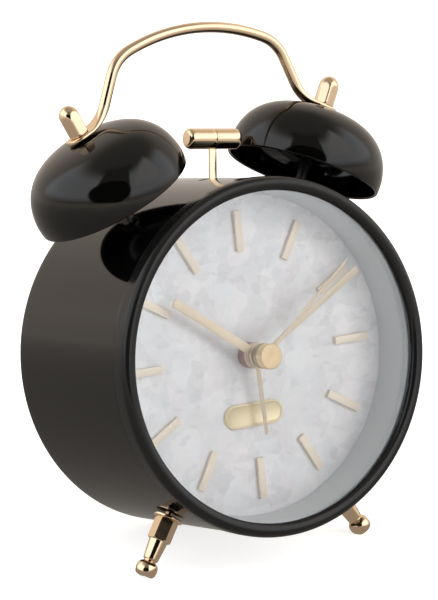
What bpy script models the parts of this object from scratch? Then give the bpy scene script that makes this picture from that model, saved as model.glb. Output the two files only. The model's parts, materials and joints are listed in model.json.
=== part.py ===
"""Twin-bell alarm clock: drum case on two legs, two bells under a carrying handle, quartz works inside.

The clock is drawn upright in its own frame, in millimetres: the origin is the centre of the bezel's
front plane, +X to the right of the dial, +Y towards the back, +Z to 12 o'clock. The case itself, the
parent of everything else, then leans back until its rear rim and both feet stand on Z = 0.
"""
import math

import bmesh
import bpy
from mathutils import Matrix, Vector

MM = 0.001

# Stance
LEAN = math.radians(12.5)
AXIS_HEIGHT = 60.62
AXIS_SHIFT = -28.62

# Case, bezel, glass and dial: radii, and distances back from the bezel's front plane
CASE_RADIUS = 49.6
CASE_WALL = 1.0
CASE_FRONT = 6.25
CASE_BACK = 58.6
RIM_ROUND = 1.5
BEZEL_RADIUS = 50.0
BEZEL_OPENING = 46.0
BEZEL_SIDE = 5.95
BEZEL_NECK = 48.3
BEZEL_BORE = 47.2
BEZEL_BACK = 9.0
LENS_RADIUS = 46.9
LENS_FRONT = 2.2
LENS_BACK = 3.6
COVER_LEDGE = 45.2
DIAL_RADIUS = 48.2
DIAL_HOLE = 2.9
DIAL_BEAD = 47.2
DIAL_FRONT = 15.75
DIAL_THICKNESS = 1.0
ROUND_SIDES = 60

# Dial furniture
MARKER_INNER = 29.1
MARKER_OUTER = 40.6
MARKER_WIDTH = 2.2
MARKER_HEIGHT = 1.15
MARKER_BEVEL = 0.15
PLAQUE_LENGTH = 19.4
PLAQUE_WIDTH = 6.7
PLAQUE_DROP = 16.75
SEAT_GAP = 0.05

# Hands: angle clockwise from 12 at rest, half width at the root and at the tip, length, front face
HOUR_ANGLE = -54.5
HOUR_HALF_WIDTHS = (1.3, 1.3)
HOUR_LENGTH = 31.6
HOUR_FRONT = 10.8
MINUTE_ANGLE = 60.3
MINUTE_HALF_WIDTHS = (0.65, 1.1)
MINUTE_LENGTH = 40.5
MINUTE_FRONT = 9.05
SECOND_ANGLE = 52.3
SECOND_HALF_WIDTHS = (0.55, 0.4)
SECOND_LENGTH = 38.2
SECOND_FRONT = 6.55
ALARM_ANGLE = 177.3
ALARM_HALF_WIDTHS = (0.7, 0.55)
ALARM_LENGTH = 22.4
ALARM_FRONT = 11.6
ALARM_COLLAR = 3.65
BOSS_RADIUS = 3.5
HUB_RADIUS = 3.6
HUB_FRONT = 4.05

# Nested pipes on the dial's axis, with 0.05 running clearance
ARBOR_RADIUS = 0.45
MINUTE_BORE = 0.5
MINUTE_PIPE = 1.0
HOUR_BORE = 1.05
HOUR_PIPE = 1.6
ALARM_BORE = 1.65
ALARM_PIPE = 2.25

# Gears
MINUTE_TEETH = 8
MOTION_TEETH = 24
HOUR_TEETH = 32
ALARM_TEETH = 32
CRANK_TEETH = 32
PINION_TEETH = 8
MINUTE_MODULE = 0.6
ALARM_MODULE = 0.6
CRANK_MODULE = 0.5
TIME_AXIS = MINUTE_MODULE * (MINUTE_TEETH + MOTION_TEETH) / 2
ALARM_AXIS = -ALARM_MODULE * (ALARM_TEETH + PINION_TEETH) / 2
HOUR_MODULE = 2 * TIME_AXIS / (HOUR_TEETH + PINION_TEETH)
MOTOR_AXIS = -CRANK_MODULE * (CRANK_TEETH + PINION_TEETH) / 2
SHAFT_RADIUS = 1.0
SHAFT_BORE = 1.05

# Bells: rim centre, outward tilt, and a superelliptic dome
BELL_X = 31.56
BELL_Y = 27.0
BELL_Z = 47.8
BELL_TILT = math.radians(26.8)
BELL_RADIUS = 22.8
BELL_RIM_RADIUS = 22.35
BELL_HEIGHT = 19.08
BELL_POWER = 2 / 2.615
BELL_WALL = 0.9
BELL_SIDES = 36
POST_RADIUS = 1.5
POST_HOLE = 1.8

# Handle: a bowed rod whose ends are flattened into tabs under the acorn nuts
HANDLE_ROD = 1.55
HANDLE_TOP = 92.1
HANDLE_BOW = 59.0
HANDLE_SHOULDER = (27.1, 85.6)
HANDLE_KNEE = (33.7, 69.15)
HANDLE_FILLET = 5.0
TAB_LEVEL = 20.05
TAB_END = 4.5
TAB_HALF_WIDTH = 3.6
TAB_HALF_THICKNESS = 0.7
NUT_BASE = 20.85
NUT_CORNERS = 6.35
NUT_HEX = 5.4
NUT_LENGTH = 8.7
NUT_TURNS = {"left": math.radians(28.0), "right": math.radians(22.0)}

# Hammer, its pivot and the crank that shakes it
HAMMER_Y = BELL_Y
HAMMER_SWING = math.radians(5.8)
HAMMER_REACH = 21.3
HAMMER_RADIUS = 2.93
HAMMER_LENGTH = 17.3
HAMMER_END_ROUND = 1.3
ARM_HALF_WIDTH = 1.2
ARM_THICKNESS = 0.7
PIVOT_Z = 39.5
CRANK_Z = 27.5
CRANK_PIN_ORBIT = 1.2
CRANK_PIN_RADIUS = 0.6
SLOT_HALF_LENGTH = 3.6
SLOT_HALF_WIDTH = 1.2

# Striking work: distances behind the middle of the hammer's arm
PIVOT_PIN_TIP = -1.6
CRANK_PIN_TIP = -1.2
GEAR_FRONT = 1.3
GEAR_BORE_END = 1.8
CRANK_AXLE_TIP = 1.9
GEAR_BACK = 2.7
PINION_BACK = 2.9
BRACKET_FRONT = 3.9
MOTOR_FRONT = 4.1
BRACKET_BACK = 4.9
MOTOR_SHAFT_END = 6.9
MOTOR_BORE_END = 7.9
MOTOR_BACK = 19.7

# Legs, measured outwards along each leg from the case's axis
LEG_ANGLE = math.radians(33.5)
LEG_Y = 21.6
LEG_SHANK = 1.5
LEG_HOLE = 1.8

# Back
COVER_FRONT = 55.95
COVER_BACK = 57.45
COVER_RADIUS = 47.4
BATTERY_Z = -26.0
BATTERY_Y = 48.6
BATTERY_RADIUS = 7.1
BATTERY_LENGTH = 49.0
DOOR_HALF_LENGTH = 25.9
DOOR_HALF_WIDTH = 6.9
SWITCH_Z = 32.0
SWITCH_REST = -2.0
SCREW_CIRCLE = 41.0
SCREW_ANGLES = (60.0, 300.0)
KNOB_RADIUS = 5.0


# Materials

def material(name, colour, roughness, metallic=0.0, alpha=1.0):
    """A plain Principled material."""
    made = bpy.data.materials.new(name)
    made.use_nodes = True
    shader = made.node_tree.nodes["Principled BSDF"]
    shader.inputs["Base Color"].default_value = (*colour, 1.0)
    shader.inputs["Roughness"].default_value = roughness
    shader.inputs["Metallic"].default_value = metallic
    shader.inputs["Alpha"].default_value = alpha
    made.diffuse_color = (*colour, alpha)
    return made


def make_materials():
    return {
        "black_gloss": material("black_gloss", (0.012, 0.011, 0.010), 0.08),
        "bezel_satin": material("bezel_satin", (0.030, 0.031, 0.031), 0.35),
        "gold": material("gold", (0.86, 0.63, 0.40), 0.16, 1.0),
        "champagne": material("champagne", (0.83, 0.72, 0.54), 0.30, 1.0),
        "copper": material("copper", (0.72, 0.36, 0.26), 0.25, 1.0),
        "pearl": material("pearl", (0.74, 0.74, 0.77), 0.30),
        "ring_grey": material("ring_grey", (0.60, 0.63, 0.65), 0.45),
        "glass": material("glass", (0.95, 0.97, 0.97), 0.03, 0.0, 0.15),
        "brass": material("brass", (0.72, 0.56, 0.28), 0.30, 1.0),
        "steel": material("steel", (0.58, 0.58, 0.60), 0.28, 1.0),
        "black_plastic": material("black_plastic", (0.020, 0.020, 0.021), 0.50),
        "white_plastic": material("white_plastic", (0.78, 0.77, 0.73), 0.50),
        "circuit_green": material("circuit_green", (0.03, 0.20, 0.09), 0.50),
        "battery_shell": material("battery_shell", (0.42, 0.44, 0.46), 0.35),
    }


# Outlines: flat points (across, up), angles run clockwise from the top

def polar(radius, angle, centre=(0.0, 0.0)):
    return (centre[0] + radius * math.sin(angle), centre[1] + radius * math.cos(angle))


def circle(radius, sides=16, centre=(0.0, 0.0)):
    return [polar(radius, math.tau * k / sides, centre) for k in range(sides)]


def hexagon(corners, sides=18):
    """A hexagon across its corners, sampled like a circle so that it can be walled to one."""
    sector = math.tau / 6
    points = []
    for k in range(sides):
        angle = math.tau * k / sides
        off_flat = angle % sector - sector / 2
        points.append(polar(corners / 2 * math.cos(sector / 2) / math.cos(off_flat), angle))
    return points


def fluted(radius, depth, flutes):
    """A knob's grip: radius and radius - depth in turn."""
    return [polar(radius - depth * (k % 2), math.pi * k / flutes) for k in range(2 * flutes)]


def box(half_width, half_height, centre=(0.0, 0.0)):
    signs = ((-1, -1), (1, -1), (1, 1), (-1, 1))
    return [(centre[0] + i * half_width, centre[1] + j * half_height) for i, j in signs]


def stadium(length, width, centre=(0.0, 0.0), arc_steps=8):
    radius = width / 2
    reach = length / 2 - radius
    points = []
    for side in (1, -1):
        middle = (centre[0] + side * reach, centre[1])
        for k in range(arc_steps + 1):
            points.append(polar(radius, (1 - side) * math.pi / 2 + math.pi * k / arc_steps, middle))
    return points


def gear(teeth, module, tooth_at):
    """Trapezoidal teeth with backlash; one tooth is centred on the angle tooth_at, in degrees."""
    pitch_radius = teeth * module / 2
    tip = pitch_radius + 0.75 * module
    root = pitch_radius - 1.15 * module
    pitch = math.tau / teeth
    points = []
    for k in range(teeth):
        middle = math.radians(tooth_at) + k * pitch
        for radius, share in ((root, -0.30), (tip, -0.12), (tip, 0.12), (root, 0.30)):
            points.append(polar(radius, middle + share * pitch))
    return points


def dome(radius, height, steps, power):
    """Quarter superellipse from (radius, 0) up to, but not including, (0, height)."""
    points = []
    for k in range(steps):
        angle = math.pi / 2 * k / steps
        points.append((radius * math.cos(angle) ** power, height * math.sin(angle) ** power))
    return points


def quarter(centre, radius, steps):
    """A rounded corner of (radius, level) points about centre, from its side to its end."""
    points = []
    for k in range(steps + 1):
        angle = math.pi / 2 * k / steps
        points.append((centre[0] + radius * math.cos(angle), centre[1] + radius * math.sin(angle)))
    return points


# Solids

class Solid:
    """A mesh built from closed loops of points, walled or filled face by face, then closed."""

    def __init__(self, along="Y"):
        self.mesh = bmesh.new()
        self.along = along

    def loop(self, outline, level):
        """Vertices of a flat outline at a level along the solid's own axis."""
        if self.along == "Y":
            points = [(a, level, b) for a, b in outline]
        else:
            points = [(a, b, level) for a, b in outline]
        return [self.mesh.verts.new(Vector(p) * MM) for p in points]

    def wall(self, first, second):
        count = len(first)
        for k in range(count):
            n = (k + 1) % count
            self.mesh.faces.new((first[k], first[n], second[n], second[k]))

    def fill(self, *loops):
        """One flat face between an outline and the holes in it."""
        edges = []
        for verts in loops:
            for k, vert in enumerate(verts):
                pair = (vert, verts[(k + 1) % len(verts)])
                edges.append(self.mesh.edges.get(pair) or self.mesh.edges.new(pair))
        bmesh.ops.triangle_fill(self.mesh, edges=edges, use_beauty=True, use_dissolve=False)

    def join(self, first, second):
        if len(first) == len(second):
            self.wall(first, second)
        else:
            self.fill(first, second)

    def stack(self, levels, ring=False):
        """Joins (outline, level) pairs in turn; a ring closes on itself, a rod has flat ends."""
        loops = [self.loop(outline, level) for outline, level in levels]
        for first, second in zip(loops, loops[1:]):
            self.join(first, second)
        if ring:
            self.join(loops[-1], loops[0])
        else:
            self.fill(loops[0])
            self.fill(loops[-1])
        return self

    def make(self, name, surface, smooth_angle=35.0):
        bmesh.ops.recalc_face_normals(self.mesh, faces=self.mesh.faces)
        data = bpy.data.meshes.new(name)
        self.mesh.to_mesh(data)
        self.mesh.free()
        data.materials.append(surface)
        data.shade_smooth()
        data.set_sharp_from_angle(angle=math.radians(smooth_angle))
        made = bpy.data.objects.new(name, data)
        bpy.context.scene.collection.objects.link(made)
        return made


def turned(outline, sides, ring=False, along="Y"):
    """A lathe solid from (radius, level) points."""
    return Solid(along).stack([(circle(r, sides), level) for r, level in outline], ring)


def put(piece, parent, place=(0.0, 0.0, 0.0), turn=(0.0, 0.0, 0.0)):
    piece.parent = parent
    piece.location = Vector(place) * MM
    piece.rotation_euler = turn
    return piece


def cut(piece, cutter):
    """Takes a hidden cutter, placed on the same parent, out of a piece."""
    cutter.hide_render = True
    cutter.display_type = "WIRE"
    hole = piece.modifiers.new(cutter.name, "BOOLEAN")
    hole.operation = "DIFFERENCE"
    hole.solver = "EXACT"
    hole.object = cutter


def bell_point(side, along):
    """A point on a bell's axis, measured up from the rim's plane."""
    return (side * (BELL_X + along * math.sin(BELL_TILT)), BELL_Y, BELL_Z + along * math.cos(BELL_TILT))


def leg_turn(side):
    """Turns a leg's own +Z from its foot up to the case's axis."""
    return (0.0, -side * LEG_ANGLE, 0.0)


# Case, bezel and dial

def make_case(paint):
    inner = CASE_RADIUS - CASE_WALL
    rim = quarter((CASE_RADIUS - RIM_ROUND, CASE_BACK - RIM_ROUND), RIM_ROUND, 3)
    mouth = COVER_RADIUS + 0.3
    ledge = COVER_FRONT - SEAT_GAP
    bead = DIAL_FRONT + DIAL_THICKNESS + 0.3
    outline = [(CASE_RADIUS, CASE_FRONT)] + rim
    outline += [(mouth, CASE_BACK), (mouth, ledge), (COVER_LEDGE, ledge), (COVER_LEDGE, COVER_FRONT - 1.0)]
    outline += [(inner, COVER_FRONT - 1.0), (inner, bead + 1.2), (DIAL_BEAD, bead), (inner, bead - 0.15)]
    outline += [(inner, CASE_FRONT)]
    return turned(outline, ROUND_SIDES, ring=True).make("case_drum", paint["black_gloss"])


def cut_case(case, paint):
    slot = Solid("Z").stack([(box(SLOT_HALF_LENGTH, SLOT_HALF_WIDTH), -5.0),
                             (box(SLOT_HALF_LENGTH, SLOT_HALF_WIDTH), 5.0)])
    slot = put(slot.make("cutter_hammer_slot", paint["steel"]), case, (0, HAMMER_Y, CASE_RADIUS))
    cut(case, slot)
    for side, name in ((-1, "left"), (1, "right")):
        hole = turned([(POST_HOLE, -15.0), (POST_HOLE, -2.0)], 16, along="Z")
        hole = hole.make("cutter_post_" + name, paint["steel"])
        cut(case, put(hole, case, bell_point(side, 0.0), (0.0, side * BELL_TILT, 0.0)))
        hole = turned([(LEG_HOLE, -55.0), (LEG_HOLE, -42.0)], 16, along="Z")
        hole = hole.make("cutter_leg_" + name, paint["steel"])
        cut(case, put(hole, case, (0.0, LEG_Y, 0.0), leg_turn(side)))


def make_bezel(case, paint):
    """A ring whose front is two quarter ellipses, the outer one deeper than the inner."""
    half = (BEZEL_RADIUS - BEZEL_OPENING) / 2
    middle = BEZEL_OPENING + half
    inner_depth = 1.57
    outer_depth = 2.25
    outline = []
    for k in range(3, 0, -1):
        angle = math.pi / 2 * k / 3
        outline.append((middle - half * math.sin(angle), inner_depth * (1 - math.cos(angle))))
    for k in range(4, -1, -1):
        angle = math.pi / 2 * k / 4
        outline.append((middle + half * math.cos(angle), outer_depth * (1 - math.sin(angle))))
    outline += [(BEZEL_RADIUS, BEZEL_SIDE), (BEZEL_NECK, BEZEL_SIDE), (BEZEL_NECK, BEZEL_BACK)]
    outline += [(BEZEL_BORE, BEZEL_BACK), (BEZEL_BORE, LENS_FRONT - 0.1), (BEZEL_OPENING, LENS_FRONT - 0.1)]
    put(turned(outline, ROUND_SIDES, ring=True).make("bezel", paint["bezel_satin"]), case)


def make_glass_and_dial(case, paint):
    lens = turned([(LENS_RADIUS, LENS_FRONT), (LENS_RADIUS, LENS_BACK)], ROUND_SIDES)
    put(lens.make("lens", paint["glass"]), case)
    lip = LENS_BACK + 0.1
    flange = DIAL_FRONT - SEAT_GAP
    outline = [(LENS_RADIUS - 0.5, lip), (LENS_RADIUS - 1.0, lip + 1.6), (LENS_RADIUS - 1.8, flange)]
    outline += [(DIAL_RADIUS, flange), (DIAL_RADIUS, flange - 1.0), (LENS_RADIUS, flange - 1.0)]
    outline += [(LENS_RADIUS, lip)]
    put(turned(outline, ROUND_SIDES, ring=True).make("dial_ring", paint["ring_grey"]), case)
    back = DIAL_FRONT + DIAL_THICKNESS
    rim = circle(DIAL_RADIUS, ROUND_SIDES)
    hole = circle(DIAL_HOLE, 24)
    dial = Solid().stack([(rim, DIAL_FRONT), (rim, back), (hole, back), (hole, DIAL_FRONT)], ring=True)
    put(dial.make("dial_plate", paint["pearl"]), case)


def make_markers(case, paint):
    middle = (MARKER_INNER + MARKER_OUTER) / 2
    half_length = (MARKER_OUTER - MARKER_INNER) / 2
    half_width = MARKER_WIDTH / 2
    back = DIAL_FRONT - SEAT_GAP
    front = back - MARKER_HEIGHT
    for hour in range(1, 13):
        bar = Solid().stack([
            (box(half_width, half_length, (0, middle)), back),
            (box(half_width, half_length, (0, middle)), front + MARKER_BEVEL),
            (box(half_width - MARKER_BEVEL, half_length - MARKER_BEVEL, (0, middle)), front)])
        bar = bar.make(f"hour_marker_{hour:02d}", paint["champagne"], 20.0)
        put(bar, case, turn=(0.0, math.tau * hour / 12, 0.0))


def make_plaque(case, paint):
    """A blank stadium plaque with a raised border."""
    back = DIAL_FRONT - SEAT_GAP
    front = back - 0.85

    def outline(inset):
        return stadium(PLAQUE_LENGTH - 2 * inset, PLAQUE_WIDTH - 2 * inset, (-0.45, -PLAQUE_DROP))

    plaque = Solid().stack([(outline(0.0), back), (outline(0.0), front + 0.2), (outline(0.2), front),
                            (outline(0.7), front), (outline(0.85), front + 0.2)])
    put(plaque.make("name_plaque", paint["gold"]), case)


# Hands and works

def hand_outline(boss, half_widths, length, steps=18):
    """A round boss that runs out into a straight, square-ended bar."""
    root, tip = half_widths
    spread = math.asin(root / boss)
    points = []
    for k in range(steps + 1):
        points.append(polar(boss, spread + (math.tau - 2 * spread) * k / steps))
    return points + [(-tip, length), (tip, length)]


def place_hand(solid, name, surface, case, angle):
    put(solid.make(name, surface), case, turn=(0.0, math.radians(angle), 0.0))


def make_hands(case, paint):
    """Flat bars on round bosses; each hand's boss or sleeve fills the space to the one behind it."""
    plate = 0.4
    outline = hand_outline(BOSS_RADIUS, HOUR_HALF_WIDTHS, HOUR_LENGTH)
    collar = circle(2.2)
    hole = circle(HOUR_PIPE + SEAT_GAP)
    back = ALARM_FRONT - 0.25
    solid = Solid().stack([(outline, HOUR_FRONT), (outline, HOUR_FRONT + plate),
                           (collar, HOUR_FRONT + plate), (collar, back), (hole, back),
                           (hole, HOUR_FRONT)], ring=True)
    place_hand(solid, "hour_hand", paint["champagne"], case, HOUR_ANGLE)

    outline = hand_outline(BOSS_RADIUS, MINUTE_HALF_WIDTHS, MINUTE_LENGTH)
    collar = circle(BOSS_RADIUS - 0.2, 20)
    hole = circle(MINUTE_PIPE + SEAT_GAP)
    back = HOUR_FRONT - 0.4
    solid = Solid().stack([(outline, MINUTE_FRONT), (outline, MINUTE_FRONT + plate),
                           (collar, MINUTE_FRONT + plate), (collar, back), (hole, back),
                           (hole, MINUTE_FRONT)], ring=True)
    place_hand(solid, "minute_hand", paint["champagne"], case, MINUTE_ANGLE)

    plate = 0.3
    outline = hand_outline(HUB_RADIUS - SEAT_GAP, SECOND_HALF_WIDTHS, SECOND_LENGTH)
    hole = circle(ARBOR_RADIUS + SEAT_GAP, 12)
    solid = Solid().stack([(outline, SECOND_FRONT), (outline, SECOND_FRONT + plate),
                           (hole, SECOND_FRONT + plate), (hole, SECOND_FRONT)], ring=True)
    place_hand(solid, "second_hand", paint["champagne"], case, SECOND_ANGLE)

    outline = hand_outline(ALARM_COLLAR, ALARM_HALF_WIDTHS, ALARM_LENGTH)
    collar = circle(ALARM_COLLAR - SEAT_GAP, 24)
    hole = circle(ALARM_PIPE + SEAT_GAP, 24)
    back = DIAL_FRONT - SEAT_GAP
    solid = Solid().stack([(outline, ALARM_FRONT), (outline, ALARM_FRONT + plate),
                           (collar, ALARM_FRONT + plate), (collar, back), (hole, back),
                           (hole, ALARM_FRONT)], ring=True)
    place_hand(solid, "alarm_hand", paint["copper"], case, ALARM_ANGLE)


def make_hub(case, paint):
    back = SECOND_FRONT - SEAT_GAP
    bore = ARBOR_RADIUS + SEAT_GAP
    cap = turned([(HUB_RADIUS - 0.3, HUB_FRONT), (HUB_RADIUS - 0.1, HUB_FRONT + 0.1),
                  (HUB_RADIUS, HUB_FRONT + 0.4), (HUB_RADIUS, back), (bore, back),
                  (bore, HUB_FRONT + 1.0)], 20)
    put(cap.make("hub_cap", paint["gold"]), case)
    front = SECOND_FRONT + 0.3 + SEAT_GAP
    back = MINUTE_FRONT - 0.85
    arbor = turned([(ARBOR_RADIUS, HUB_FRONT + 1.1), (ARBOR_RADIUS, front), (HUB_RADIUS - 0.1, front),
                    (HUB_RADIUS, front + 0.1), (HUB_RADIUS, back), (ARBOR_RADIUS, back),
                    (ARBOR_RADIUS, 29.4)], 20)
    put(arbor.make("second_arbor", paint["gold"]), case)


def make_motion_work(case, paint):
    """Minute pinion, motion wheel, hour wheel, alarm wheel and alarm pinion, in mesh at rest."""
    teeth = gear(MINUTE_TEETH, MINUTE_MODULE, 90)
    pipe = circle(MINUTE_PIPE, 12)
    bore = circle(MINUTE_BORE, 12)
    solid = Solid().stack([(pipe, MINUTE_FRONT - 0.5), (pipe, 22.8), (teeth, 22.8), (teeth, 25.0),
                           (bore, 25.0), (bore, MINUTE_FRONT - 0.5)], ring=True)
    put(solid.make("minute_pipe", paint["brass"]), case)

    teeth = gear(HOUR_TEETH, HOUR_MODULE, 90)
    pipe = circle(HOUR_PIPE)
    bore = circle(HOUR_BORE)
    solid = Solid().stack([(pipe, HOUR_FRONT - 0.3), (pipe, 20.8), (teeth, 20.8), (teeth, 22.0),
                           (bore, 22.0), (bore, HOUR_FRONT - 0.3)], ring=True)
    put(solid.make("hour_wheel", paint["brass"]), case)

    teeth = gear(ALARM_TEETH, ALARM_MODULE, 270)
    pipe = circle(ALARM_PIPE)
    bore = circle(ALARM_BORE)
    solid = Solid().stack([(pipe, ALARM_FRONT - 0.1), (pipe, 19.0), (teeth, 19.0), (teeth, 20.2),
                           (bore, 20.2), (bore, ALARM_FRONT - 0.1)], ring=True)
    put(solid.make("alarm_wheel", paint["brass"]), case)

    wheel = gear(MOTION_TEETH, MINUTE_MODULE, 270 + 180 / MOTION_TEETH)
    pinion = gear(PINION_TEETH, HOUR_MODULE, 270 + 180 / PINION_TEETH)
    bore = circle(SHAFT_BORE)
    solid = Solid().stack([(pinion, 20.7), (pinion, 22.8), (wheel, 22.8), (wheel, 24.1),
                           (bore, 24.1), (bore, 20.7)], ring=True)
    put(solid.make("motion_wheel", paint["white_plastic"]), case, (TIME_AXIS, 0, 0))

    pinion = gear(PINION_TEETH, ALARM_MODULE, 90 + 180 / PINION_TEETH)
    solid = Solid().stack([(pinion, 18.9), (pinion, 20.3), (bore, 20.3), (bore, 18.9)], ring=True)
    put(solid.make("alarm_pinion", paint["white_plastic"]), case, (ALARM_AXIS, 0, 0))


def make_knobs(case, paint):
    """Setting knobs at the back, each on the end of its own shaft."""
    for name, axis, front in (("time_set_knob", TIME_AXIS, 20.7), ("alarm_set_knob", ALARM_AXIS, 18.8)):
        grip = fluted(KNOB_RADIUS, 0.35, 14)
        crown = fluted(KNOB_RADIUS - 0.5, 0.35, 14)
        shaft = circle(SHAFT_RADIUS)
        solid = Solid().stack([(shaft, front), (shaft, CASE_BACK + 0.3), (crown, CASE_BACK + 0.3),
                               (grip, CASE_BACK + 0.8), (grip, CASE_BACK + 4.8), (crown, CASE_BACK + 5.3)])
        put(solid.make(name, paint["black_plastic"]), case, (axis, 0, 0))


def make_movement(case, paint):
    """Front plate and back shell of the works, and the circuit board between them."""
    rim = box(22.0, 19.0)
    front, back = 17.1, 18.3
    plate = Solid()
    loops = [(plate.loop(rim, level), plate.loop(circle(2.9), level)) for level in (front, back)]
    for outer, inner in loops:
        plate.fill(outer, inner)
    plate.wall(loops[0][0], loops[1][0])
    plate.wall(loops[0][1], loops[1][1])
    put(plate.make("movement_plate", paint["black_plastic"]), case)

    shell = Solid()
    front, floor, back = 18.35, 29.8, 31.0
    mouth = [shell.loop(box(22.0, 19.0), front), shell.loop(box(20.8, 17.8), front)]
    inside = shell.loop(box(20.8, 17.8), floor)
    outside = shell.loop(box(22.0, 19.0), back)
    shell.wall(mouth[0], mouth[1])
    shell.wall(mouth[1], inside)
    shell.wall(mouth[0], outside)
    holes = []
    for axis in (TIME_AXIS, ALARM_AXIS):
        ring = circle(SHAFT_RADIUS + 0.3, centre=(axis, 0))
        holes.append((shell.loop(ring, floor), shell.loop(ring, back)))
        shell.wall(*holes[-1])
    shell.fill(inside, *[pair[0] for pair in holes])
    shell.fill(outside, *[pair[1] for pair in holes])
    put(shell.make("movement_cover", paint["black_plastic"]), case)

    board = Solid().stack([(box(19.0, 3.5, (0, -13.5)), 26.0), (box(19.0, 3.5, (0, -13.5)), 27.2)])
    put(board.make("circuit_board", paint["circuit_green"]), case)


# Striking work

def make_striking_work(case, paint):
    """Bracket with its two pins, motor, pinion and crank wheel."""
    bracket = Solid()
    rim = box(17.0, 11.0, (0, 30.3))
    hole = circle(1.7, centre=(MOTOR_AXIS, CRANK_Z))
    faces = [[bracket.loop(rim, HAMMER_Y + level), bracket.loop(hole, HAMMER_Y + level)]
             for level in (BRACKET_FRONT, BRACKET_BACK)]
    bracket.wall(faces[0][0], faces[1][0])
    bracket.wall(faces[0][1], faces[1][1])
    bracket.fill(*faces[1])
    for height, tip in ((PIVOT_Z, PIVOT_PIN_TIP), (CRANK_Z, CRANK_AXLE_TIP)):
        pin = circle(SHAFT_RADIUS, centre=(0, height))
        foot = bracket.loop(pin, HAMMER_Y + BRACKET_FRONT)
        end = bracket.loop(pin, HAMMER_Y + tip)
        bracket.wall(foot, end)
        bracket.fill(end)
        faces[0].append(foot)
    bracket.fill(*faces[0])
    put(bracket.make("motor_bracket", paint["steel"]), case)

    teeth = gear(CRANK_TEETH, CRANK_MODULE, 270)
    pin = circle(CRANK_PIN_RADIUS, 12, (0, CRANK_PIN_ORBIT))
    bore = circle(SHAFT_BORE)
    crank = Solid().stack([(pin, CRANK_PIN_TIP), (pin, GEAR_FRONT), (teeth, GEAR_FRONT), (teeth, GEAR_BACK),
                           (bore, GEAR_BACK), (bore, GEAR_BORE_END)])
    put(crank.make("crank_gear", paint["white_plastic"]), case, (0, HAMMER_Y, CRANK_Z))

    place = (MOTOR_AXIS, HAMMER_Y, CRANK_Z)
    teeth = gear(PINION_TEETH, CRANK_MODULE, 90 + 180 / PINION_TEETH)
    shaft = circle(0.5, 12)
    pinion = Solid().stack([(teeth, GEAR_FRONT), (teeth, PINION_BACK), (shaft, PINION_BACK),
                            (shaft, MOTOR_SHAFT_END)])
    put(pinion.make("motor_pinion", paint["brass"]), case, place)

    nose = MOTOR_FRONT + 1.1
    tail = MOTOR_BACK - 0.8
    motor = turned([(1.4, MOTOR_FRONT), (1.4, nose), (5.6, nose), (6.0, nose + 0.4), (6.0, tail - 1.0),
                    (5.0, tail), (2.0, tail), (2.0, MOTOR_BACK)], 18)
    motor = motor.make("alarm_motor", paint["steel"])
    drill = turned([(0.6, MOTOR_FRONT - 0.7), (0.6, MOTOR_BORE_END)], 24)
    cut(motor, put(drill.make("cutter_motor_bore", paint["steel"]), case, place))
    put(motor, case, place)


def make_hammer(case, paint):
    """Forked arm on the bracket's upper pin, with a round head across its top, swung to one side."""
    front = HAMMER_Y - ARM_THICKNESS / 2
    back = front + ARM_THICKNESS
    turn = (0.0, HAMMER_SWING, 0.0)
    right = [(ARM_HALF_WIDTH, HAMMER_REACH), (ARM_HALF_WIDTH, 4.0), (4.8, 1.5), (4.8, -13.8), (3.6, -13.8),
             (3.6, -8.1), (2.4, -6.9)]
    outline = right + [(-across, up) for across, up in reversed(right)]
    hole = circle(SHAFT_BORE)
    arm = Solid().stack([(outline, front), (outline, back), (hole, back), (hole, front)], ring=True)
    put(arm.make("hammer_arm", paint["gold"]), case, (0, 0, PIVOT_Z), turn)

    half = HAMMER_LENGTH / 2
    ending = quarter((HAMMER_RADIUS - HAMMER_END_ROUND, half - HAMMER_END_ROUND), HAMMER_END_ROUND, 4)
    seam = [(HAMMER_RADIUS, -0.25), (HAMMER_RADIUS - 0.2, 0.0), (HAMMER_RADIUS, 0.25)]
    outline = [(radius, -level) for radius, level in reversed(ending)] + seam + ending
    head = turned(outline, 20, along="Z")
    for vert in head.mesh.verts:
        vert.co = Matrix.Rotation(math.pi / 2, 3, "Y") @ vert.co
    bmesh.ops.translate(head.mesh, verts=head.mesh.verts, vec=(0, HAMMER_Y * MM, HAMMER_REACH * MM))
    head = put(head.make("hammer_head", paint["gold"]), case, (0, 0, PIVOT_Z), turn)
    hole = box(ARM_HALF_WIDTH + 0.3, ARM_THICKNESS / 2 + 0.3)
    socket = Solid("Z").stack([(hole, -HAMMER_RADIUS - 1.0), (hole, 0.3)])
    centre = (HAMMER_REACH * math.sin(HAMMER_SWING), HAMMER_Y,
              PIVOT_Z + HAMMER_REACH * math.cos(HAMMER_SWING))
    cut(head, put(socket.make("cutter_head_socket", paint["steel"]), case, centre, turn))


# Bells and handle

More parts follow.
